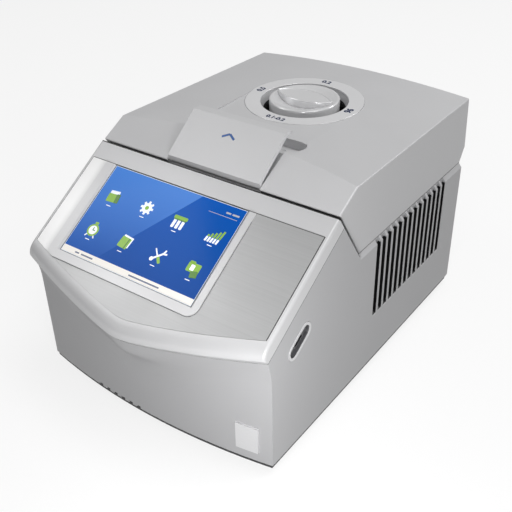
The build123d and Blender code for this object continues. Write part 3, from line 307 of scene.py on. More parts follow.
def dotNode(tree, first, second):
    # The dot product of a socket with another socket or a fixed vector
    node = tree.nodes.new("ShaderNodeVectorMath")
    node.operation = "DOT_PRODUCT"
    tree.links.new(first, node.inputs[0])
    if isinstance(second, Vector):
        node.inputs[1].default_value = second
    else:
        tree.links.new(second, node.inputs[1])
    return node.outputs["Value"]


grainSettings = {"cloudScale": 14.0, "peelScale": 420.0, "roughSwing": 0.12, "peelShare": 0.7}


def makePaintGrain():
    # Fine pearl flake, a little cloudiness and a faint orange peel
    group, start, end = newGroup(
        "paintGrain",
        (("Flake Scale", "NodeSocketFloat", 2600.0), ("Flake", "NodeSocketFloat", 0.06),
         ("Cloud", "NodeSocketFloat", 0.03)),
        (("Shade", "NodeSocketFloat"), ("Rough", "NodeSocketFloat"), ("Height", "NodeSocketFloat")))
    spot = objectSpot(group)
    flake = noiseNode(group, spot, start.outputs["Flake Scale"], 2.0, 0.6)
    cloud = noiseNode(group, spot, grainSettings["cloudScale"], 3.0, 0.5)
    peel = noiseNode(group, spot, grainSettings["peelScale"], 1.0, 0.4)
    flakeShade = swingNode(group, flake, start.outputs["Flake"])
    cloudShade = swingNode(group, cloud, start.outputs["Cloud"])
    total = mathNode(group, "ADD", mathNode(group, "ADD", flakeShade, cloudShade), 1.0)
    rough = swingNode(group, cloud, grainSettings["roughSwing"])
    share = grainSettings["peelShare"]
    height = mathNode(group, "MULTIPLY_ADD", peel, share, mathNode(group, "MULTIPLY", flake, 1.0 - share))
    group.links.new(total, end.inputs["Shade"])
    group.links.new(rough, end.inputs["Rough"])
    group.links.new(height, end.inputs["Height"])
    return group


def makeBrushing():
    # Long fine scratches along X
    group, start, end = newGroup(
        "brushing",
        (("Lines", "NodeSocketFloat", 900.0), ("Stretch", "NodeSocketFloat", 6.0),
         ("Depth", "NodeSocketFloat", 0.2)),
        (("Shade", "NodeSocketFloat"), ("Height", "NodeSocketFloat")))
    parts = splitParts(group, objectSpot(group))
    joined = group.nodes.new("ShaderNodeCombineXYZ")
    group.links.new(mathNode(group, "MULTIPLY", parts[0], start.outputs["Stretch"]), joined.inputs[0])
    group.links.new(mathNode(group, "MULTIPLY", parts[1], start.outputs["Lines"]), joined.inputs[1])
    group.links.new(mathNode(group, "MULTIPLY", parts[2], start.outputs["Lines"]), joined.inputs[2])
    lines = noiseNode(group, joined.outputs[0], 1.0, 4.0, 0.65)
    shade = swingNode(group, lines, start.outputs["Depth"])
    group.links.new(mathNode(group, "ADD", shade, 1.0), end.inputs["Shade"])
    group.links.new(lines, end.inputs["Height"])
    return group


def makePlaneLine():
    # One near a plane and nought away from it, for the dark joints between mouldings and for the painted
    # shade on the faces in the gap between lid and console
    group, start, end = newGroup(
        "planeLine",
        (("Normal", "NodeSocketVector", (0, 0, 1)), ("Distance", "NodeSocketFloat", 0.0),
         ("Half Width", "NodeSocketFloat", 0.0003), ("Lowest", "NodeSocketFloat", 0.0)),
        (("Mask", "NodeSocketFloat"),))
    spot = objectSpot(group)
    along = dotNode(group, spot, start.outputs["Normal"])
    away = mathNode(group, "ABSOLUTE", mathNode(group, "SUBTRACT", along, start.outputs["Distance"]))
    parts = splitParts(group, spot)
    above = mathNode(group, "GREATER_THAN", parts[2], start.outputs["Lowest"])
    near = mathNode(group, "LESS_THAN", away, start.outputs["Half Width"])
    group.links.new(mathNode(group, "MULTIPLY", near, above), end.inputs["Mask"])
    return group


def makeShadeBox():
    # One inside a box that is mirrored across the middle, for the painted shade in the depth of an opening
    group, start, end = newGroup(
        "paintedShadeBox",
        (("Low", "NodeSocketVector", (0, 0, 0)), ("High", "NodeSocketVector", (1, 1, 1))),
        (("Mask", "NodeSocketFloat"),))
    parts = splitParts(group, objectSpot(group))
    lows = splitParts(group, start.outputs["Low"])
    highs = splitParts(group, start.outputs["High"])
    mask = None
    for axis in range(3):
        value = parts[axis]
        if axis == 0:
            value = mathNode(group, "ABSOLUTE", value)
        inside = mathNode(group, "MULTIPLY", mathNode(group, "GREATER_THAN", value, lows[axis]),
                          mathNode(group, "LESS_THAN", value, highs[axis]))
        mask = inside if mask is None else mathNode(group, "MULTIPLY", mask, inside)
    group.links.new(mask, end.inputs["Mask"])
    return group


def makeHandling():
    # Faint wiped smears that change the gloss
    group, start, end = newGroup(
        "handling",
        (("Scale", "NodeSocketFloat", 30.0), ("Strength", "NodeSocketFloat", 0.1)),
        (("Rough", "NodeSocketFloat"), ("Shade", "NodeSocketFloat")))
    spot = objectSpot(group)
    broad = noiseNode(group, spot, start.outputs["Scale"], 5.0, 0.6)
    centred = mathNode(group, "SUBTRACT", broad, 0.5)
    group.links.new(mathNode(group, "MULTIPLY", centred, start.outputs["Strength"]), end.inputs["Rough"])
    group.links.new(mathNode(group, "ADD", mathNode(group, "MULTIPLY", centred, 0.05), 1.0),
                    end.inputs["Shade"])
    return group


paintGrain = makePaintGrain()
brushing = makeBrushing()
planeLine = makePlaneLine()
paintedShadeBox = makeShadeBox()
handling = makeHandling()
print("node groups made")


# Finishes
rimHeight = sideSettings["rimZ"] * mm
# seam and lidSeat are dark joint lines; backWall and lidFront paint the faces in the gap between console
# and lid near-black, as painted shade
jointLinesAndGapShade = {  # normal, distance, half width and lowest point
    "seam": (*slopePlane(consoleSettings, -consoleSettings["thickness"]), 0.00028, 0.0),
    "backWall": (*backWallPlane(), 0.0006, rimHeight),
    "lidFront": (backWallPlane()[0], backWallPlane()[1] - 0.00185, 0.0013, rimHeight),
    "lidSeat": (Vector((0, 0, 1)), rimHeight + 0.0004, 0.0005, 0.0),
}


def startMaterial(name, colour, roughness, metallic=0.0, coat=0.0):
    material = bpy.data.materials.new(name)
    material.use_nodes = True
    shader = material.node_tree.nodes["Principled BSDF"]
    shader.inputs["Base Color"].default_value = (*colour, 1)
    shader.inputs["Roughness"].default_value = roughness
    shader.inputs["Metallic"].default_value = metallic
    shader.inputs["Coat Weight"].default_value = coat
    shader.inputs["Coat Roughness"].default_value = 0.12
    return material, material.node_tree, shader


def addGroup(tree, group, values):
    node = tree.nodes.new("ShaderNodeGroup")
    node.node_tree = group
    for label, value in values.items():
        node.inputs[label].default_value = value
    return node


def addBump(tree, shader, height, strength, distance=0.0002):
    bump = tree.nodes.new("ShaderNodeBump")
    bump.inputs["Strength"].default_value = strength
    bump.inputs["Distance"].default_value = distance
    tree.links.new(height, bump.inputs["Height"])
    tree.links.new(bump.outputs[0], shader.inputs["Normal"])


def addJointsAndGapShade(tree, colour, lines):
    # Darken a colour along each named joint: dark joint lines, and painted shade on the faces in the lid's
    # gap
    for key in lines:
        normal, distance, half, lowest = jointLinesAndGapShade[key]
        node = addGroup(tree, planeLine, {
            "Normal": normal, "Distance": distance, "Half Width": half, "Lowest": lowest})
        colour = colourMix(tree, node.outputs["Mask"], colour, (0.008, 0.008, 0.009))
    return colour


def addPaintedShade(tree, colour, box):
    # Painted shade: a darker tone inside a box, standing in for the shade in an opening
    low, high, tone = box
    node = addGroup(tree, paintedShadeBox, {"Low": low, "High": high})
    return colourMix(tree, node.outputs["Mask"], colour, tone)


def silverPaint(name, colour, roughness, flake, metallic, coat, lines=(), depth=None):
    material, tree, shader = startMaterial(name, colour, roughness, metallic, coat)
    grain = addGroup(tree, paintGrain, {"Flake": flake})
    smear = addGroup(tree, handling, {"Scale": 22.0, "Strength": 0.08})
    shade = mathNode(tree, "MULTIPLY", grain.outputs["Shade"], smear.outputs["Shade"])
    toned = shaded(tree, colour, shade)
    toned = addJointsAndGapShade(tree, toned, lines)
    # depth is a box of painted shade in an opening
    if depth:
        toned = addPaintedShade(tree, toned, depth)
    tree.links.new(toned, shader.inputs["Base Color"])
    rough = mathNode(tree, "ADD", mathNode(tree, "ADD", grain.outputs["Rough"], smear.outputs["Rough"]),
                     roughness)
    tree.links.new(rough, shader.inputs["Roughness"])
    addBump(tree, shader, grain.outputs["Height"], 0.12, 0.00012)
    return material


def addPaintedGlare(tree, colour, ends, tone):
    # Painted reflection: a paler tone at the left end stands in for a lamp's glare, fading out between two
    # places along X
    parts = splitParts(tree, objectSpot(tree))
    fade = tree.nodes.new("ShaderNodeMapRange")
    fade.interpolation_type = "SMOOTHSTEP"
    fade.inputs["From Min"].default_value, fade.inputs["From Max"].default_value = ends
    fade.inputs["To Min"].default_value, fade.inputs["To Max"].default_value = 1.0, 0.0
    tree.links.new(parts[0], fade.inputs["Value"])
    return colourMix(tree, fade.outputs["Result"], colour, tone)


def screenAxes(tree):
    # Millimetres across and up the screen from its middle
    spot = objectSpot(tree)
    away = tree.nodes.new("ShaderNodeVectorMath")
    away.operation = "SUBTRACT"
    away.inputs[1].default_value = onScreen(0, 0, 0).translation
    tree.links.new(spot, away.inputs[0])
    sockets = []
    for axis in (Vector((1, 0, 0)), onScreen(0, 0, 0).col[1].to_3d()):
        sockets.append(mathNode(tree, "MULTIPLY", dotNode(tree, away.outputs[0], axis), 1 / mm))
    return sockets


def addFrameLine(tree, colour, settings):
    # The dark joints round the display frame, with its rounded corners, and along the overlay's edges
    across, upward = screenAxes(tree)
    over = []
    for socket, middle, half in zip((across, upward), settings["middle"], settings["half"]):
        reach = mathNode(tree, "ABSOLUTE", mathNode(tree, "SUBTRACT", socket, middle))
        past = mathNode(tree, "SUBTRACT", reach, half - settings["corner"])
        over.append(mathNode(tree, "MAXIMUM", past, 0.0))
    squares = [mathNode(tree, "MULTIPLY", side, side) for side in over]
    away = mathNode(tree, "SQRT", mathNode(tree, "ADD", *squares))
    near = mathNode(tree, "LESS_THAN", away, settings["corner"] + settings["width"])
    colour = colourMix(tree, near, colour, settings["frameTone"])
    side = mathNode(tree, "ABSOLUTE", mathNode(tree, "ADD", across, screenSettings["x"]))
    edges = mathNode(tree, "MAXIMUM", mathNode(tree, "GREATER_THAN", side, settings["edgeSide"]),
                     mathNode(tree, "GREATER_THAN", upward, settings["edgeTop"]))
    return colourMix(tree, edges, colour, settings["edgeTone"])


def brushedMetal(name, colour, roughness, lines, depth, metallic, paintedGlare=None, frameLine=None):
    material, tree, shader = startMaterial(name, colour, roughness, metallic)
    brush = addGroup(tree, brushing, {"Lines": lines, "Depth": depth})
    smear = addGroup(tree, handling, {"Scale": 30.0, "Strength": 0.1})
    toned = shaded(tree, colour, brush.outputs["Shade"])
    # painted reflection: the paler left end stands in for a lamp's glare
    if paintedGlare:
        toned = addPaintedGlare(tree, toned, *paintedGlare)
    if frameLine:
        toned = addFrameLine(tree, toned, frameLine)
    tree.links.new(toned, shader.inputs["Base Color"])
    tree.links.new(mathNode(tree, "ADD", smear.outputs["Rough"], roughness), shader.inputs["Roughness"])
    addBump(tree, shader, brush.outputs["Height"], 0.15, 0.00008)
    return material


def mouldedPlastic(name, colour, roughness, texture=0.25, flake=0.12):
    # Fine spark-eroded texture on a dark or plain moulding
    material, tree, shader = startMaterial(name, colour, roughness)
    spot = objectSpot(tree)
    grain = noiseNode(tree, spot, 1800.0, 3.0, 0.6)
    smear = addGroup(tree, handling, {"Scale": 35.0, "Strength": 0.16})
    shade = mathNode(tree, "ADD", swingNode(tree, grain, flake), 1.0)
    toned = shaded(tree, colour, mathNode(tree, "MULTIPLY", shade, smear.outputs["Shade"]))
    tree.links.new(toned, shader.inputs["Base Color"])
    tree.links.new(mathNode(tree, "ADD", smear.outputs["Rough"], roughness), shader.inputs["Roughness"])
    addBump(tree, shader, grain, texture, 0.0001)
    return material


boardSettings = {
    "ground": (0.02, 0.12, 0.05), "roughness": 0.35, "runScale": 160.0, "runWidth": 0.03,
    "tones": ((0.015, 0.11, 0.045, 1), (0.02, 0.14, 0.06, 1), (0.06, 0.26, 0.10, 1)),
    "dotScale": 220.0, "dotRadius": 0.16, "solder": (0.55, 0.56, 0.55),
}


def circuitBoard(name, settings):
    # Green board with fine copper runs and a scatter of solder
    material, tree, shader = startMaterial(name, settings["ground"], settings["roughness"])
    spot = objectSpot(tree)
    bricks = tree.nodes.new("ShaderNodeTexBrick")
    bricks.inputs["Scale"].default_value = settings["runScale"]
    bricks.inputs["Mortar Size"].default_value = settings["runWidth"]
    for label, tone in zip(("Color1", "Color2", "Mortar"), settings["tones"]):
        bricks.inputs[label].default_value = tone
    tree.links.new(spot, bricks.inputs["Vector"])
    dots = tree.nodes.new("ShaderNodeTexVoronoi")
    dots.inputs["Scale"].default_value = settings["dotScale"]
    tree.links.new(spot, dots.inputs["Vector"])
    solder = mathNode(tree, "LESS_THAN", dots.outputs["Distance"], settings["dotRadius"])
    colour = colourMix(tree, solder, bricks.outputs["Color"], settings["solder"])
    tree.links.new(colour, shader.inputs["Base Color"])
    tree.links.new(solder, shader.inputs["Metallic"])
    addBump(tree, shader, bricks.outputs["Fac"], 0.3, 0.0001)
    return material


def waveAlong(tree, part, pitch):
    return mathNode(tree, "SINE", mathNode(tree, "MULTIPLY", part, pitch))


meshSettings = {
    "ground": (0.006, 0.006, 0.007), "roughness": 0.6, "pitch": 4200.0,
    "tones": ((0.001, 0.001, 0.001), (0.012, 0.012, 0.013)),
}


def screenMesh(name, settings):
    # Woven black mesh behind the side slots
    material, tree, shader = startMaterial(name, settings["ground"], settings["roughness"])
    parts = splitParts(tree, objectSpot(tree))
    waves = [mathNode(tree, "ABSOLUTE", waveAlong(tree, parts[axis], settings["pitch"])) for axis in (1, 2)]
    weave = mathNode(tree, "MAXIMUM", *waves)
    tree.links.new(colourMix(tree, weave, *settings["tones"]), shader.inputs["Base Color"])
    addBump(tree, shader, weave, 0.6, 0.0003)
    return material


foilSettings = {
    "roughness": 0.3, "coat": 0.4, "pitch": 900.0, "gap": 0.7,
    "tones": ((0.55, 0.24, 0.05), (0.30, 0.10, 0.03)),
}


def heaterFoil(name, settings):
    # Amber film with a winding track
    material, tree, shader = startMaterial(name, settings["tones"][0], settings["roughness"], 0.0,
                                           settings["coat"])
    swing = waveAlong(tree, splitParts(tree, objectSpot(tree))[0], settings["pitch"])
    track = mathNode(tree, "GREATER_THAN", mathNode(tree, "ABSOLUTE", swing), settings["gap"])
    tree.links.new(colourMix(tree, track, *settings["tones"]), shader.inputs["Base Color"])
    addBump(tree, shader, track, 0.2, 0.0001)
    return material


threadSettings = {
    "ground": (0.5, 0.5, 0.51), "roughness": 0.3, "pitch": 3140.0,
    "tones": ((0.25, 0.25, 0.26), (0.6, 0.6, 0.61)),
}


def threadedSteel(name, settings):
    # Screw thread as fine rings along Z
    material, tree, shader = startMaterial(name, settings["ground"], settings["roughness"], 1.0)
    wave = waveAlong(tree, splitParts(tree, objectSpot(tree))[2], settings["pitch"])
    rings = mathNode(tree, "MULTIPLY_ADD", wave, 0.5, 0.5)
    tree.links.new(colourMix(tree, rings, *settings["tones"]), shader.inputs["Base Color"])
    addBump(tree, shader, wave, 0.8, 0.0006)
    return material


def screenPicture(name, settings):
    # The lit picture: deep blue, darker towards the right and the bottom, with a lighter facet at the upper
    # left that is a painted reflection of glare, a status bar and a thin pale border
    material, tree, shader = startMaterial(name, settings["blue"], settings["roughness"], 0.0,
                                           settings["coat"])
    shader.inputs["Specular IOR Level"].default_value = settings["specular"]
    spot = objectSpot(tree)
    x, y = screenAxes(tree)
    # painted reflection: the lighter facet of glare at the upper left, fading by the sheen up the screen
    (x1, y1), (x2, y2) = settings["glareFacet"]
    rightward = mathNode(tree, "MULTIPLY", mathNode(tree, "SUBTRACT", x, x1), y2 - y1)
    upright = mathNode(tree, "MULTIPLY", mathNode(tree, "SUBTRACT", y, y1), x2 - x1)
    side = mathNode(tree, "SUBTRACT", rightward, upright)
    glareFacet = mathNode(tree, "GREATER_THAN", side, 0.0)
    lowered = mathNode(tree, "MULTIPLY_ADD", y, 0.5 / settings["height"], 0.5)
    darkened = mathNode(tree, "MULTIPLY_ADD", x, -settings["sideFade"] / settings["width"], lowered)
    cloud = noiseNode(tree, spot, settings["cloudScale"], 2.0, 0.5)
    swing = settings["cloud"]
    glow = mathNode(tree, "ADD", darkened, mathNode(tree, "MULTIPLY_ADD", cloud, swing, -swing / 2))
    ground = colourMix(tree, glow, settings["dark"], settings["blue"])
    rise, middle = settings["sheen"]
    sheen = mathNode(tree, "MULTIPLY_ADD", y, rise / settings["height"], middle)
    ground = colourMix(tree, mathNode(tree, "MULTIPLY", glareFacet, sheen), ground, settings["light"])
    low, high = settings["statusBar"]
    inBar = mathNode(tree, "MULTIPLY", mathNode(tree, "GREATER_THAN", y, low),
                     mathNode(tree, "LESS_THAN", y, high))
    ground = colourMix(tree, inBar, ground, settings["bar"])
    reachX = mathNode(tree, "SUBTRACT", mathNode(tree, "ABSOLUTE", x), settings["width"] / 2)
    reachY = mathNode(tree, "SUBTRACT", mathNode(tree, "ABSOLUTE", y), settings["height"] / 2)
    reach = mathNode(tree, "MAXIMUM", reachX, reachY)
    border = mathNode(tree, "GREATER_THAN", reach, -settings["border"])
    ground = colourMix(tree, border, ground, settings["pale"])
    outside = mathNode(tree, "GREATER_THAN", reach, 0.0)
    ground = colourMix(tree, outside, ground, settings["edge"])
    tree.links.new(ground, shader.inputs["Base Color"])
    lit = colourMix(tree, outside, ground, (0.0, 0.0, 0.0))
    tree.links.new(lit, shader.inputs["Emission Color"])
    shader.inputs["Emission Strength"].default_value = settings["glow"]
    return material


screenPictureSettings = {
    "blue": (0.004, 0.085, 0.40),
    "dark": (0.002, 0.034, 0.17),
    # light is the tone of the painted glare facet
    "light": (0.06, 0.18, 0.50),
    "pale": (0.50, 0.55, 0.62),
    "bar": (0.62, 0.60, 0.57),
    "edge": (0.01, 0.01, 0.012),
    "glareFacet": ((27.0, 45.5), (-21.1, -21.6)),
    "statusBar": (-47.1, -40.6),
    "border": 0.5,
    "width": screenSettings["width"],
    "height": screenSettings["height"],
    "glow": 0.6,
    "roughness": 0.12,
    "coat": 0.03,
    "specular": 0.06,
    "sideFade": 0.28,
    "cloudScale": 9.0,
    "cloud": 0.3,
    "sheen": (0.9, 0.45),
}

# Painted shade in the depths of the side slots, of the dial's well and of the socket's mouth
paintedShadeBlack = (0.004, 0.004, 0.0045)
paintedShadeSettings = {
    "ventX": 0.05, "ventZ": (0.03, 0.1455), "ventSkin": 0.0003, "wellTop": 0.2168, "trimSkin": 0.0006,
    "trimShade": (0.09, 0.09, 0.095),
}
ventLow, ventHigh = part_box("vent_screens")
ventShade = (Vector((paintedShadeSettings["ventX"], ventLow.y, paintedShadeSettings["ventZ"][0])),
             Vector((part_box("base_housing")[1].x - paintedShadeSettings["ventSkin"], ventHigh.y,
                     paintedShadeSettings["ventZ"][1])), paintedShadeBlack)
wellShade = (Vector((-1, -1, 0)), Vector((1, 1, paintedShadeSettings["wellTop"])), paintedShadeBlack)
usbShade = (Vector((0, -1, 0)), Vector((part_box("usb_trim")[1].x - paintedShadeSettings["trimSkin"], 1, 1)),
            paintedShadeSettings["trimShade"])

# Millimetres from the middle of the screen, and from the middle of the console for the overlay's sides
frameLineSettings = {
    "middle": (-1.75, -4.5), "half": (85.75, 51.6), "corner": 10.0, "width": 0.5,
    "frameTone": (0.17, 0.17, 0.175),
    "edgeSide": 128.0, "edgeTop": 47.65, "edgeTone": (0.06, 0.06, 0.062),
}

# Each row holds its maker and the values that the maker takes after the name
finishRows = {
    # shellPaint: painted shade inside the side slots, and with backWall on the faces in the lid's gap
    "shellPaint": (silverPaint, (0.50, 0.50, 0.51), 0.42, 0.07, 0.1, 0.1, ("seam", "backWall"), ventShade),
    # lidPaint: lidFront is painted shade on the lid's face in the gap
    "lidPaint": (silverPaint, (0.64, 0.64, 0.65), 0.42, 0.07, 0.1, 0.1, ("lidFront", "lidSeat")),
    # mouldingPaint: backWall is painted shade on the console's rear face in the gap
    "mouldingPaint": (silverPaint, (0.68, 0.68, 0.69), 0.34, 0.06, 0.25, 0.25, ("seam", "backWall")),
    "framePaint": (silverPaint, (0.68, 0.68, 0.69), 0.34, 0.05, 0.25, 0.25),
    # overlayMetal: the paler left end is a painted reflection of a lamp's glare
    "overlayMetal": (brushedMetal, (0.53, 0.533, 0.536), 0.36, 700.0, 0.22, 0.6,
                     ((-0.118, -0.102), (0.88, 0.88, 0.88)), frameLineSettings),
    "handlePaint": (silverPaint, (0.66, 0.66, 0.67), 0.4, 0.05, 0.1, 0.1),
    "knobPaint": (silverPaint, (0.84, 0.84, 0.85), 0.21, 0.04, 0.25, 0.3),
    "dialPaint": (silverPaint, (0.84, 0.84, 0.85), 0.34, 0.05, 0.2, 0.2),
    # wellPaint: painted shade deep in the dial's well
    "wellPaint": (silverPaint, (0.50, 0.50, 0.51), 0.4, 0.05, 0.2, 0.1, (), wellShade),
    "rearPaint": (silverPaint, (0.50, 0.50, 0.51), 0.5, 0.1, 0.2, 0.0),
    "trayPlastic": (mouldedPlastic, (0.03, 0.03, 0.032), 0.5),
    "footRubber": (mouldedPlastic, (0.018, 0.018, 0.018), 0.8, 0.5, 0.2),
    "blackPlastic": (mouldedPlastic, (0.022, 0.022, 0.024), 0.42),
    "rockerPlastic": (mouldedPlastic, (0.016, 0.016, 0.017), 0.2, 0.08, 0.05),
    "deckPlastic": (mouldedPlastic, (0.15, 0.152, 0.158), 0.5),
    "gasketRubber": (mouldedPlastic, (0.03, 0.03, 0.03), 0.75, 0.4, 0.15),
    # trimPaint: painted shade in the socket's mouth
    "trimPaint": (silverPaint, (0.72, 0.72, 0.73), 0.34, 0.05, 0.25, 0.2, (), usbShade),
    "portSteel": (brushedMetal, (0.35, 0.35, 0.36), 0.32, 1500.0, 0.3, 1.0),
    "plainSteel": (brushedMetal, (0.60, 0.60, 0.61), 0.32, 1200.0, 0.25, 1.0),
    "caseSteel": (brushedMetal, (0.42, 0.43, 0.44), 0.36, 600.0, 0.3, 1.0),
    "badgeMetal": (brushedMetal, (0.74, 0.74, 0.75), 0.32, 1500.0, 0.08, 0.2),
    "blockMetal": (brushedMetal, (0.72, 0.73, 0.74), 0.4, 400.0, 0.12, 1.0),
    "sinkMetal": (brushedMetal, (0.60, 0.61, 0.62), 0.38, 500.0, 0.25, 1.0),
    "bushBrass": (brushedMetal, (0.62, 0.46, 0.20), 0.32, 900.0, 0.2, 1.0),
    "ceramicPad": (mouldedPlastic, (0.76, 0.76, 0.74), 0.5, 0.1, 0.06),
    "circuitBoard": (circuitBoard, boardSettings),
    "screenMesh": (screenMesh, meshSettings),
    "heaterFoil": (heaterFoil, foilSettings),
    "threadedSteel": (threadedSteel, threadSettings),
    "screenPicture": (screenPicture, screenPictureSettings),
}
finishes = {name: row[0](name, *row[1:]) for name, row in finishRows.items()}
finishOfNode = {
    "base_tray": "trayPlastic", "base_housing": "shellPaint", "rear_panel": "rearPaint",
    "rubber_feet": "footRubber", "console_moulding": "mouldingPaint", "console_overlay": "overlayMetal",
    "display_frame": "framePaint", "touch_glass": "screenPicture", "display_panel": "caseSteel",
    "display_board": "circuitBoard", "main_board": "circuitBoard", "power_supply": "caseSteel",
    "inlet_socket": "blackPlastic", "switch_frame": "blackPlastic", "power_rocker": "rockerPlastic",
    "fan_frame_left": "blackPlastic", "fan_frame_right": "blackPlastic", "fan_rotor_left": "blackPlastic",
    "fan_rotor_right": "blackPlastic", "fan_guards": "plainSteel", "vent_screens": "screenMesh",
    "usb_trim": "trimPaint", "usb_port": "portSteel", "badge_plate": "badgeMetal",
    "block_deck": "deckPlastic", "block_gasket": "gasketRubber", "sample_block": "blockMetal",
    "peltier_modules": "ceramicPad", "heatsink": "sinkMetal", "heatsink_posts": "caseSteel",
    "latch_keeper": "plainSteel", "hinge_brackets": "plainSteel", "lid_shell": "lidPaint",
    "lid_liner": "deckPlastic", "lid_hinge_arms": "blackPlastic", "hinge_pins": "plainSteel",
    "dial_ring": "dialPaint", "dial_bowl": "wellPaint", "spindle_bush": "bushBrass",
    "guide_posts": "plainSteel", "latch_ears": "blackPlastic", "latch_pin": "plainSteel",
    "latch_handle": "handlePaint", "latch_hooks": "plainSteel", "tightening_knob": "knobPaint",
    "lead_screw": "threadedSteel", "plate_carrier": "blackPlastic", "lead_nut": "bushBrass",
    "heater_film": "heaterFoil", "heated_plate": "blockMetal",
}
for nodeName, node in nodes.items():
    node.data.materials.clear()
    node.data.materials.append(finishes[finishOfNode[nodeName]])
print("nodes finished")


# Making flat pieces
def startPiece():
    if bpy.context.object and bpy.context.object.mode != "OBJECT":
        bpy.ops.object.mode_set(mode="OBJECT")
    bpy.ops.object.select_all(action="DESELECT")


def activate(piece):
    startPiece()
    piece.select_set(True)
    bpy.context.view_layer.objects.active = piece


def putInPlace(piece, matrix):
    # The place goes into the mesh, so that the object stays at the origin
    activate(piece)
    piece.matrix_world = matrix @ piece.matrix_world
    bpy.ops.object.transform_apply(location=True, rotation=True, scale=True)


def thicken(thick):
    # The outline in edit mode becomes a plate of that thickness in millimetres
    bpy.ops.mesh.select_all(action="SELECT")
    bpy.ops.mesh.extrude_region_move(TRANSFORM_OT_translate={"value": (0, 0, thick * mm)})
    bpy.ops.mesh.select_all(action="SELECT")
    bpy.ops.mesh.normals_make_consistent(inside=False)
    bpy.ops.object.mode_set(mode="OBJECT")


def flatTile(x, y, width, height, thick, corner=0.0, turn=0.0):
    # A plate with rounded corners on the XY plane, in millimetres
    startPiece()
    bpy.ops.mesh.primitive_plane_add(size=1, location=(0, 0, 0))
    piece = bpy.context.object
    piece.scale = (width * mm, height * mm, 1)
    bpy.ops.object.transform_apply(scale=True)
    bpy.ops.object.mode_set(mode="EDIT")
    bpy.ops.mesh.select_all(action="SELECT")
    if corner:
        bpy.ops.mesh.bevel(offset=corner * mm, segments=4, affect="VERTICES")
    thicken(thick)
    putInPlace(piece, Matrix.Translation((x * mm, y * mm, 0)) @ Matrix.Rotation(math.radians(turn), 4, "Z"))
    return piece


discSides = 32


def flatDisc(x, y, radius, thick):
    startPiece()
    bpy.ops.mesh.primitive_circle_add(vertices=discSides, radius=radius * mm, fill_type="NGON",
                                      location=(0, 0, 0))
    piece = bpy.context.object
    bpy.ops.object.mode_set(mode="EDIT")
    thicken(thick)
    putInPlace(piece, Matrix.Translation((x * mm, y * mm, 0)))
    return piece


def joinPieces(pieces, name, matrix, finish, body):
    startPiece()
    for piece in pieces:
        piece.select_set(True)
    bpy.context.view_layer.objects.active = pieces[0]
    if len(pieces) > 1:
        bpy.ops.object.join()
    whole = bpy.context.view_layer.objects.active
    whole.name = name
    whole.data.name = name
    whole.data.materials.clear()
    whole.data.materials.append(finish)
    putInPlace(whole, matrix)
    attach(whole, body)
    return whole


def selectFaces(piece, test):
    # Leaves the piece in edit mode with those faces selected
    activate(piece)
    bpy.ops.object.mode_set(mode="EDIT")
    bpy.ops.mesh.select_mode(type="FACE")
    bpy.ops.mesh.select_all(action="DESELECT")
    bpy.ops.object.mode_set(mode="OBJECT")
    for face in piece.data.polygons:
        face.select = test(face)
    bpy.ops.object.mode_set(mode="EDIT")


topFacing = 0.9  # a face that looks up has a normal with more than this in Z


def roundTop(piece, width, segments):
    # The rim of the top is rounded, and the top face is left selected in edit mode
    selectFaces(piece, lambda face: face.normal.z > topFacing)
    bpy.ops.mesh.bevel(offset=width * mm, segments=segments, affect="EDGES")
    bpy.ops.object.mode_set(mode="OBJECT")
    top = max(piece.data.polygons, key=lambda face: (round(face.center.z, 5), face.area)).index
    selectFaces(piece, lambda face: face.index == top)


def litInk(name, colour, glow):
    # Printed or lit marks, faintly uneven
    material, tree, shader = startMaterial(name, colour, 0.25)
    spot = objectSpot(tree)
    cloud = noiseNode(tree, spot, 300.0, 2.0, 0.5)
    shade = mathNode(tree, "MULTIPLY_ADD", cloud, 0.12, 0.94)
    toned = shaded(tree, colour, shade)
    tree.links.new(toned, shader.inputs["Base Color"])
    if glow:
        tree.links.new(toned, shader.inputs["Emission Color"])
        shader.inputs["Emission Strength"].default_value = glow
    return material


# Icons on the screen
iconSettings = {
    "thick": 0.12,
    "labelWidth": 5.0,
    "labelHeight": 0.7,
    "labelDrop": 9.6,
    "dashHeight": 1.3,
    "places": {
        "box": (-57.1, 17.0), "gear": (-17.7, 18.3), "tubes": (20.4, 16.6), "bars": (59.9, 16.3),
        "clock": (-56.1, -19.2), "book": (-17.6, -18.2), "tools": (20.8, -18.5), "cubes": (59.0, -18.1),
    },
    "statusDashes": ((-57.0, 5.0), (-45.0, 14.0), (22.0, 34.0)),
    "cornerDashes": ((60.0, 39.5, 5.0, 1.6), (67.5, 39.5, 7.0, 1.6), (56.0, 35.6, 30.0, 0.4)),
}
whiteInk = litInk("whiteInk", (0.80, 0.84, 0.88), 0.35)
greenInk = litInk("greenInk", (0.20, 0.40, 0.03), 0.3)
deepInk = litInk("deepInk", (0.07, 0.20, 0.02), 0.2)
greyInk = litInk("greyInk", (0.10, 0.13, 0.22), 0.1)
markInk = litInk("markInk", (0.004, 0.018, 0.08), 0.0)
handleInk = litInk("handleInk", (0.025, 0.10, 0.33), 0.0)
paleInk = litInk("paleInk", (0.55, 0.56, 0.58), 0.0)
iconInks = (("white", whiteInk), ("green", greenInk), ("deep", deepInk))


def ringOf(count, radius, width, height):
    tiles = []
    for i in range(count):
        angle = 360.0 * i / count
        x, y = radius * math.cos(math.radians(angle)), radius * math.sin(math.radians(angle))
        tiles.append(flatTile(x, y, width, height, iconSettings["thick"], turn=angle))
    return tiles


def iconBox(t):
    # Carton with a pale lid; t is the thickness of one layer, here and in the icons that follow
    white = [flatTile(-1.0, 4.6, 10.5, 3.2, t, 0.7, 6)]
    green = [flatTile(-1.2, -1.4, 11.0, 8.6, t, 0.8, 4)]
    return white, green, [flatTile(4.6, -0.8, 4.2, 9.4, t * 2, 0.8, 8)]


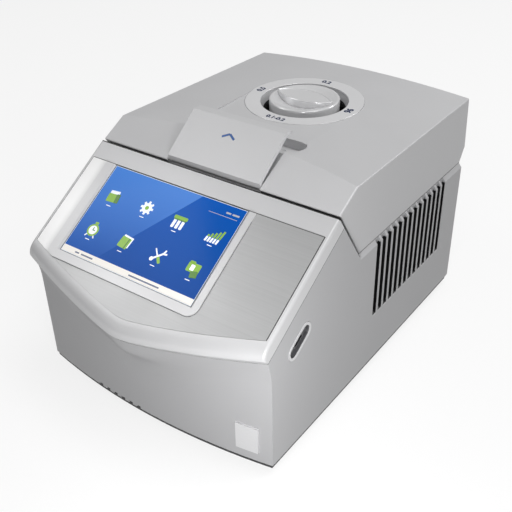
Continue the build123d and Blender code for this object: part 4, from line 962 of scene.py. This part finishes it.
def iconGear(t):
    white = [flatDisc(0, 0, 5.0, t)] + ringOf(8, 5.6, 2.6, 2.2)
    return white, [flatDisc(0, 0, 2.0, t * 2)], []


def iconTubes(t):
    # Three tubes under a cap strip
    white = [flatTile(i * 4.4, -2.4, 3.0, 8.6, t, 1.2) for i in (-1, 0, 1)]
    green = [flatTile(0, 4.0, 14.5, 3.4, t * 2, 1.0)]
    return white, green, [flatTile(0, 1.9, 13.0, 1.1, t * 3, 0.4)]


def iconBars(t):
    # Five leaning bars, white below and green above
    white, green = [], []
    for i in range(5):
        x, high = i * 2.9 - 6.0, 2.0 + 1.7 * i
        white.append(flatTile(x - 0.6, -4.6, 1.9, 4.6, t, 0.3, -10))
        green.append(flatTile(x + high * 0.09, high / 2 - 2.2, 1.9, high, t, 0.3, -10))
    return white, green, []


def iconClock(t):
    # Alarm clock with a button and two feet
    white = [flatDisc(0, 0, 4.4, t * 2), flatTile(-4.4, -6.0, 1.2, 3.0, t, 0.3, -35),
             flatTile(4.4, -6.0, 1.2, 3.0, t, 0.3, 35)]
    green = [flatDisc(0, 0, 6.2, t), flatTile(0, 7.4, 4.0, 2.2, t, 0.6)]
    deep = [flatTile(0, 1.4, 0.9, 3.2, t * 3), flatTile(1.2, 0, 2.8, 0.9, t * 3)]
    return white, green, deep


def iconBook(t):
    # Closed book with pale page edges
    white = [flatTile(0.8, 1.0, 11.0, 10.6, t, 0.5, -6)]
    green = [flatTile(-0.4, -0.6, 10.6, 10.6, t * 2, 0.6, -6)]
    return white, green, [flatTile(2.6, -0.9, 1.2, 10.4, t * 3, 0.2, -6)]


def iconTools(t):
    # Spanner crossed with a screwdriver
    white = [flatTile(0, 0, 1.8, 12.5, t, 0.6, -48), flatTile(-3.2, 2.9, 1.2, 8.0, t * 2, 0.3, 42),
             flatTile(4.6, 5.6, 1.6, 3.4, t, 0.4, -20), flatTile(6.0, 3.6, 1.6, 3.4, t, 0.4, -80),
             flatDisc(-4.8, -4.2, 2.0, t)]
    return white, [flatTile(2.6, -3.4, 2.8, 6.6, t * 2, 0.9, 38)], []


def iconCubes(t):
    # Folder with a tab and a small block in front
    white = [flatTile(-1.6, 1.6, 4.0, 5.4, t * 3, 0.8)]
    green = [flatTile(-0.6, 1.8, 13.0, 8.6, t, 0.8), flatTile(-3.8, 6.4, 5.4, 2.2, t, 0.6)]
    return white, green, [flatTile(2.6, -3.8, 7.0, 6.0, t * 2, 0.8, 12)]


consoleSlope = math.radians(consoleSettings["slope"])
glassEnd = screenSettings["u"] + screenSettings["height"] / 2 + screenSettings["glassMargin"]
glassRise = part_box("touch_glass")[1].z / mm - consoleSettings["backZ"] - glassEnd * math.sin(consoleSlope)
glassTop = glassRise / math.cos(consoleSlope)
iconMakers = {
    "box": iconBox, "gear": iconGear, "tubes": iconTubes, "bars": iconBars,
    "clock": iconClock, "book": iconBook, "tools": iconTools, "cubes": iconCubes,
}
for iconName, maker in iconMakers.items():
    x, y = iconSettings["places"][iconName]
    layers = maker(iconSettings["thick"])
    layers[0].append(flatTile(0, -iconSettings["labelDrop"], iconSettings["labelWidth"],
                              iconSettings["labelHeight"], iconSettings["thick"], 0.3))
    for layer, (inkName, ink) in zip(layers, iconInks):
        if layer:
            joinPieces(layer, f"icon_{iconName}_{inkName}", onScreen(x, y, glassTop), ink, "base")
dashY = sum(screenPictureSettings["statusBar"]) / 2
dashes = [flatTile(x, dashY, width, iconSettings["dashHeight"], iconSettings["thick"], 0.3)
          for x, width in iconSettings["statusDashes"]]
joinPieces(dashes, "status_dashes", onScreen(0, 0, glassTop), greyInk, "base")
corner = [flatTile(*row, iconSettings["thick"], 0.1) for row in iconSettings["cornerDashes"]]
joinPieces(corner, "corner_dashes", onScreen(0, 0, glassTop), paleInk, "base")
print("icons drawn")


# Knob with a lens-shaped grip between two hollows
knobSettings = {
    "radius": 35.0, "foot": 210.1, "rim": 227.1, "rimBevel": 1.4, "rimWidth": 2.6,
    "dishDepth": 6.5, "dishRings": 9, "sides": 96, "bevelSteps": 3, "smoothAngle": 28,
    "gripHalfLength": 32.2, "gripArc": 48.0, "gripSides": 120, "gripFoot": 219.0, "gripTop": 229.6,
    "gripBevel": 0.9, "gripRim": 1.3, "gripHollow": 0.7, "weld": 0.2,
}


def knobBody(settings):
    startPiece()
    height = settings["rim"] - settings["foot"]
    bpy.ops.mesh.primitive_cylinder_add(vertices=settings["sides"], radius=settings["radius"] * mm,
                                        depth=height * mm,
                                        location=(0, 0, (settings["foot"] + height / 2) * mm))
    body = bpy.context.object
    bpy.ops.object.transform_apply(location=True)
    roundTop(body, settings["rimBevel"], settings["bevelSteps"])
    bpy.ops.mesh.inset(thickness=(settings["rimWidth"] - settings["rimBevel"]) * mm)
    reach = settings["radius"] - settings["rimWidth"]
    step = reach / settings["dishRings"]
    for i in range(1, settings["dishRings"]):
        before, after = 1 - (i - 1) / settings["dishRings"], 1 - i / settings["dishRings"]
        bpy.ops.mesh.inset(thickness=step * mm)
        bpy.ops.transform.translate(value=(0, 0, settings["dishDepth"] * (after ** 2 - before ** 2) * mm))
    bpy.ops.object.mode_set(mode="OBJECT")
    return body


def knobGrip(settings):
    # Two arcs that meet in points, with a low rim round a hollowed top
    arc = settings["gripHalfLength"] / math.sin(math.radians(settings["gripArc"]))
    shift = arc * math.cos(math.radians(settings["gripArc"]))
    arcs = []
    for side in (-1, 1):
        startPiece()
        bpy.ops.mesh.primitive_circle_add(vertices=settings["gripSides"], radius=arc * mm,
                                          location=(0, side * shift * mm, settings["gripFoot"] * mm))
        ring = bpy.context.object
        bpy.ops.object.transform_apply(location=True)
        bpy.ops.object.mode_set(mode="EDIT")
        bpy.ops.mesh.select_all(action="DESELECT")
        bpy.ops.object.mode_set(mode="OBJECT")
        for vertex in ring.data.vertices:
            vertex.select = side * vertex.co.y > settings["weld"] * mm
        bpy.ops.object.mode_set(mode="EDIT")
        bpy.ops.mesh.delete(type="VERT")
        bpy.ops.object.mode_set(mode="OBJECT")
        arcs.append(ring)
    startPiece()
    for ring in arcs:
        ring.select_set(True)
    bpy.context.view_layer.objects.active = arcs[0]
    bpy.ops.object.join()
    grip = bpy.context.object
    bpy.ops.object.mode_set(mode="EDIT")
    bpy.ops.mesh.select_mode(type="VERT")
    bpy.ops.mesh.select_all(action="SELECT")
    bpy.ops.mesh.remove_doubles(threshold=settings["weld"] * mm)
    bpy.ops.mesh.edge_face_add()
    thicken(settings["gripTop"] - settings["gripFoot"])
    roundTop(grip, settings["gripBevel"], settings["bevelSteps"])
    bpy.ops.mesh.inset(thickness=settings["gripRim"] * mm)
    bpy.ops.transform.translate(value=(0, 0, -settings["gripHollow"] * mm))
    bpy.ops.object.mode_set(mode="OBJECT")
    return grip


def makeKnob(settings):
    middle = Matrix.Translation(place(0, dialSettings["y"], 0))
    knob = joinPieces([knobBody(settings), knobGrip(settings)], "knob_cap", middle, finishes["knobPaint"],
                      "knob")
    activate(knob)
    bpy.ops.object.shade_smooth_by_angle(angle=math.radians(settings["smoothAngle"]))
    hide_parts("tightening_knob")


makeKnob(knobSettings)
print("knob made")


# Numbers round the dial
dialMarkSettings = {
    "ringTop": 224.5,
    "thick": 0.12,
    "weight": 0.045,
    "curveSteps": 4,
    "words": (
        ("dial_mark_front", "0.1-0.2", (0.9, -51.6), 7.4, 0.0),
        ("dial_mark_back", "0.2", (-6.1, 51.6), 8.4, 0.0),
        ("dial_mark_left", "0.5", (-51.6, -0.7), 8.4, 90.0),
        ("dial_mark_right", "96", (50.6, 0.6), 9.8, 90.0),
    ),
}


def dialMark(name, words, size, matrix, settings):
    startPiece()
    bpy.ops.object.text_add(location=(0, 0, 0))
    text = bpy.context.object
    text.data.body = words
    text.data.size = size * mm
    text.data.align_x = "CENTER"
    text.data.align_y = "CENTER"
    text.data.resolution_u = settings["curveSteps"]
    text.data.extrude = settings["thick"] * mm / 2
    text.data.offset = size * mm * settings["weight"]
    bpy.ops.object.convert(target="MESH")
    joinPieces([bpy.context.object], name, matrix, markInk, "lid")


for name, words, (x, y), size, turn in dialMarkSettings["words"]:
    matrix = Matrix.Translation(place(x, dialSettings["y"] + y, dialMarkSettings["ringTop"]))
    matrix = matrix @ Matrix.Rotation(math.radians(turn), 4, "Z")
    dialMark(name, words, size, matrix, dialMarkSettings)
print("dial marks written")


# Blue mark on the pull handle
handleMarkSettings = {
    "slope": 37.12, "backY": 99.985, "backZ": 211.6597, "x": -0.8, "u": 33.7,
    "arm": 8.0, "width": 2.2, "spread": 58.0, "thick": 0.15, "corner": 0.5,
}


def handleMark(settings):
    reach = settings["arm"] / 2 * math.sin(math.radians(settings["spread"]))
    arms = []
    for side in (-1, 1):
        arms.append(flatTile(side * reach, 0, settings["width"], settings["arm"], settings["thick"],
                             settings["corner"], side * settings["spread"]))
    matrix = slopeMatrix(settings, settings["x"], settings["u"], 0)
    joinPieces(arms, "handle_mark", matrix, handleInk, "latch")


handleMark(handleMarkSettings)
print("handle mark drawn")


# Fasteners of the rear panel
screwSettings = {
    "sides": 24, "radius": 3.1, "height": 1.3, "socket": 1.4, "depth": 0.8, "bevel": 0.4, "bevelSteps": 2,
    "places": ((-119.0, 22.0), (-119.0, 128.0), (119.0, 22.0), (119.0, 128.0), (10.0, 128.0), (10.0, 22.0)),
}


def capScrew(name, matrix, settings):
    # A low round head with a round socket
    startPiece()
    bpy.ops.mesh.primitive_cylinder_add(vertices=settings["sides"], radius=settings["radius"] * mm,
                                        depth=settings["height"] * mm,
                                        location=(0, 0, settings["height"] * mm / 2))
    piece = bpy.context.object
    bpy.ops.object.transform_apply(location=True)
    roundTop(piece, settings["bevel"], settings["bevelSteps"])
    bpy.ops.mesh.inset(thickness=(settings["radius"] - settings["bevel"] - settings["socket"]) * mm)
    bpy.ops.mesh.extrude_region_move(TRANSFORM_OT_translate={"value": (0, 0, -settings["depth"] * mm)})
    bpy.ops.object.mode_set(mode="OBJECT")
    joinPieces([piece], name, matrix, finishes["plainSteel"], "base")


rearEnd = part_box("rear_panel")[1].y
facingRear = Matrix.Rotation(math.radians(-90), 4, "X")
for number, (x, z) in enumerate(screwSettings["places"], 1):
    matrix = Matrix.Translation((x * mm, rearEnd, z * mm)) @ facingRear
    capScrew(f"rear_screw_{number}", matrix, screwSettings)
print("fasteners set")
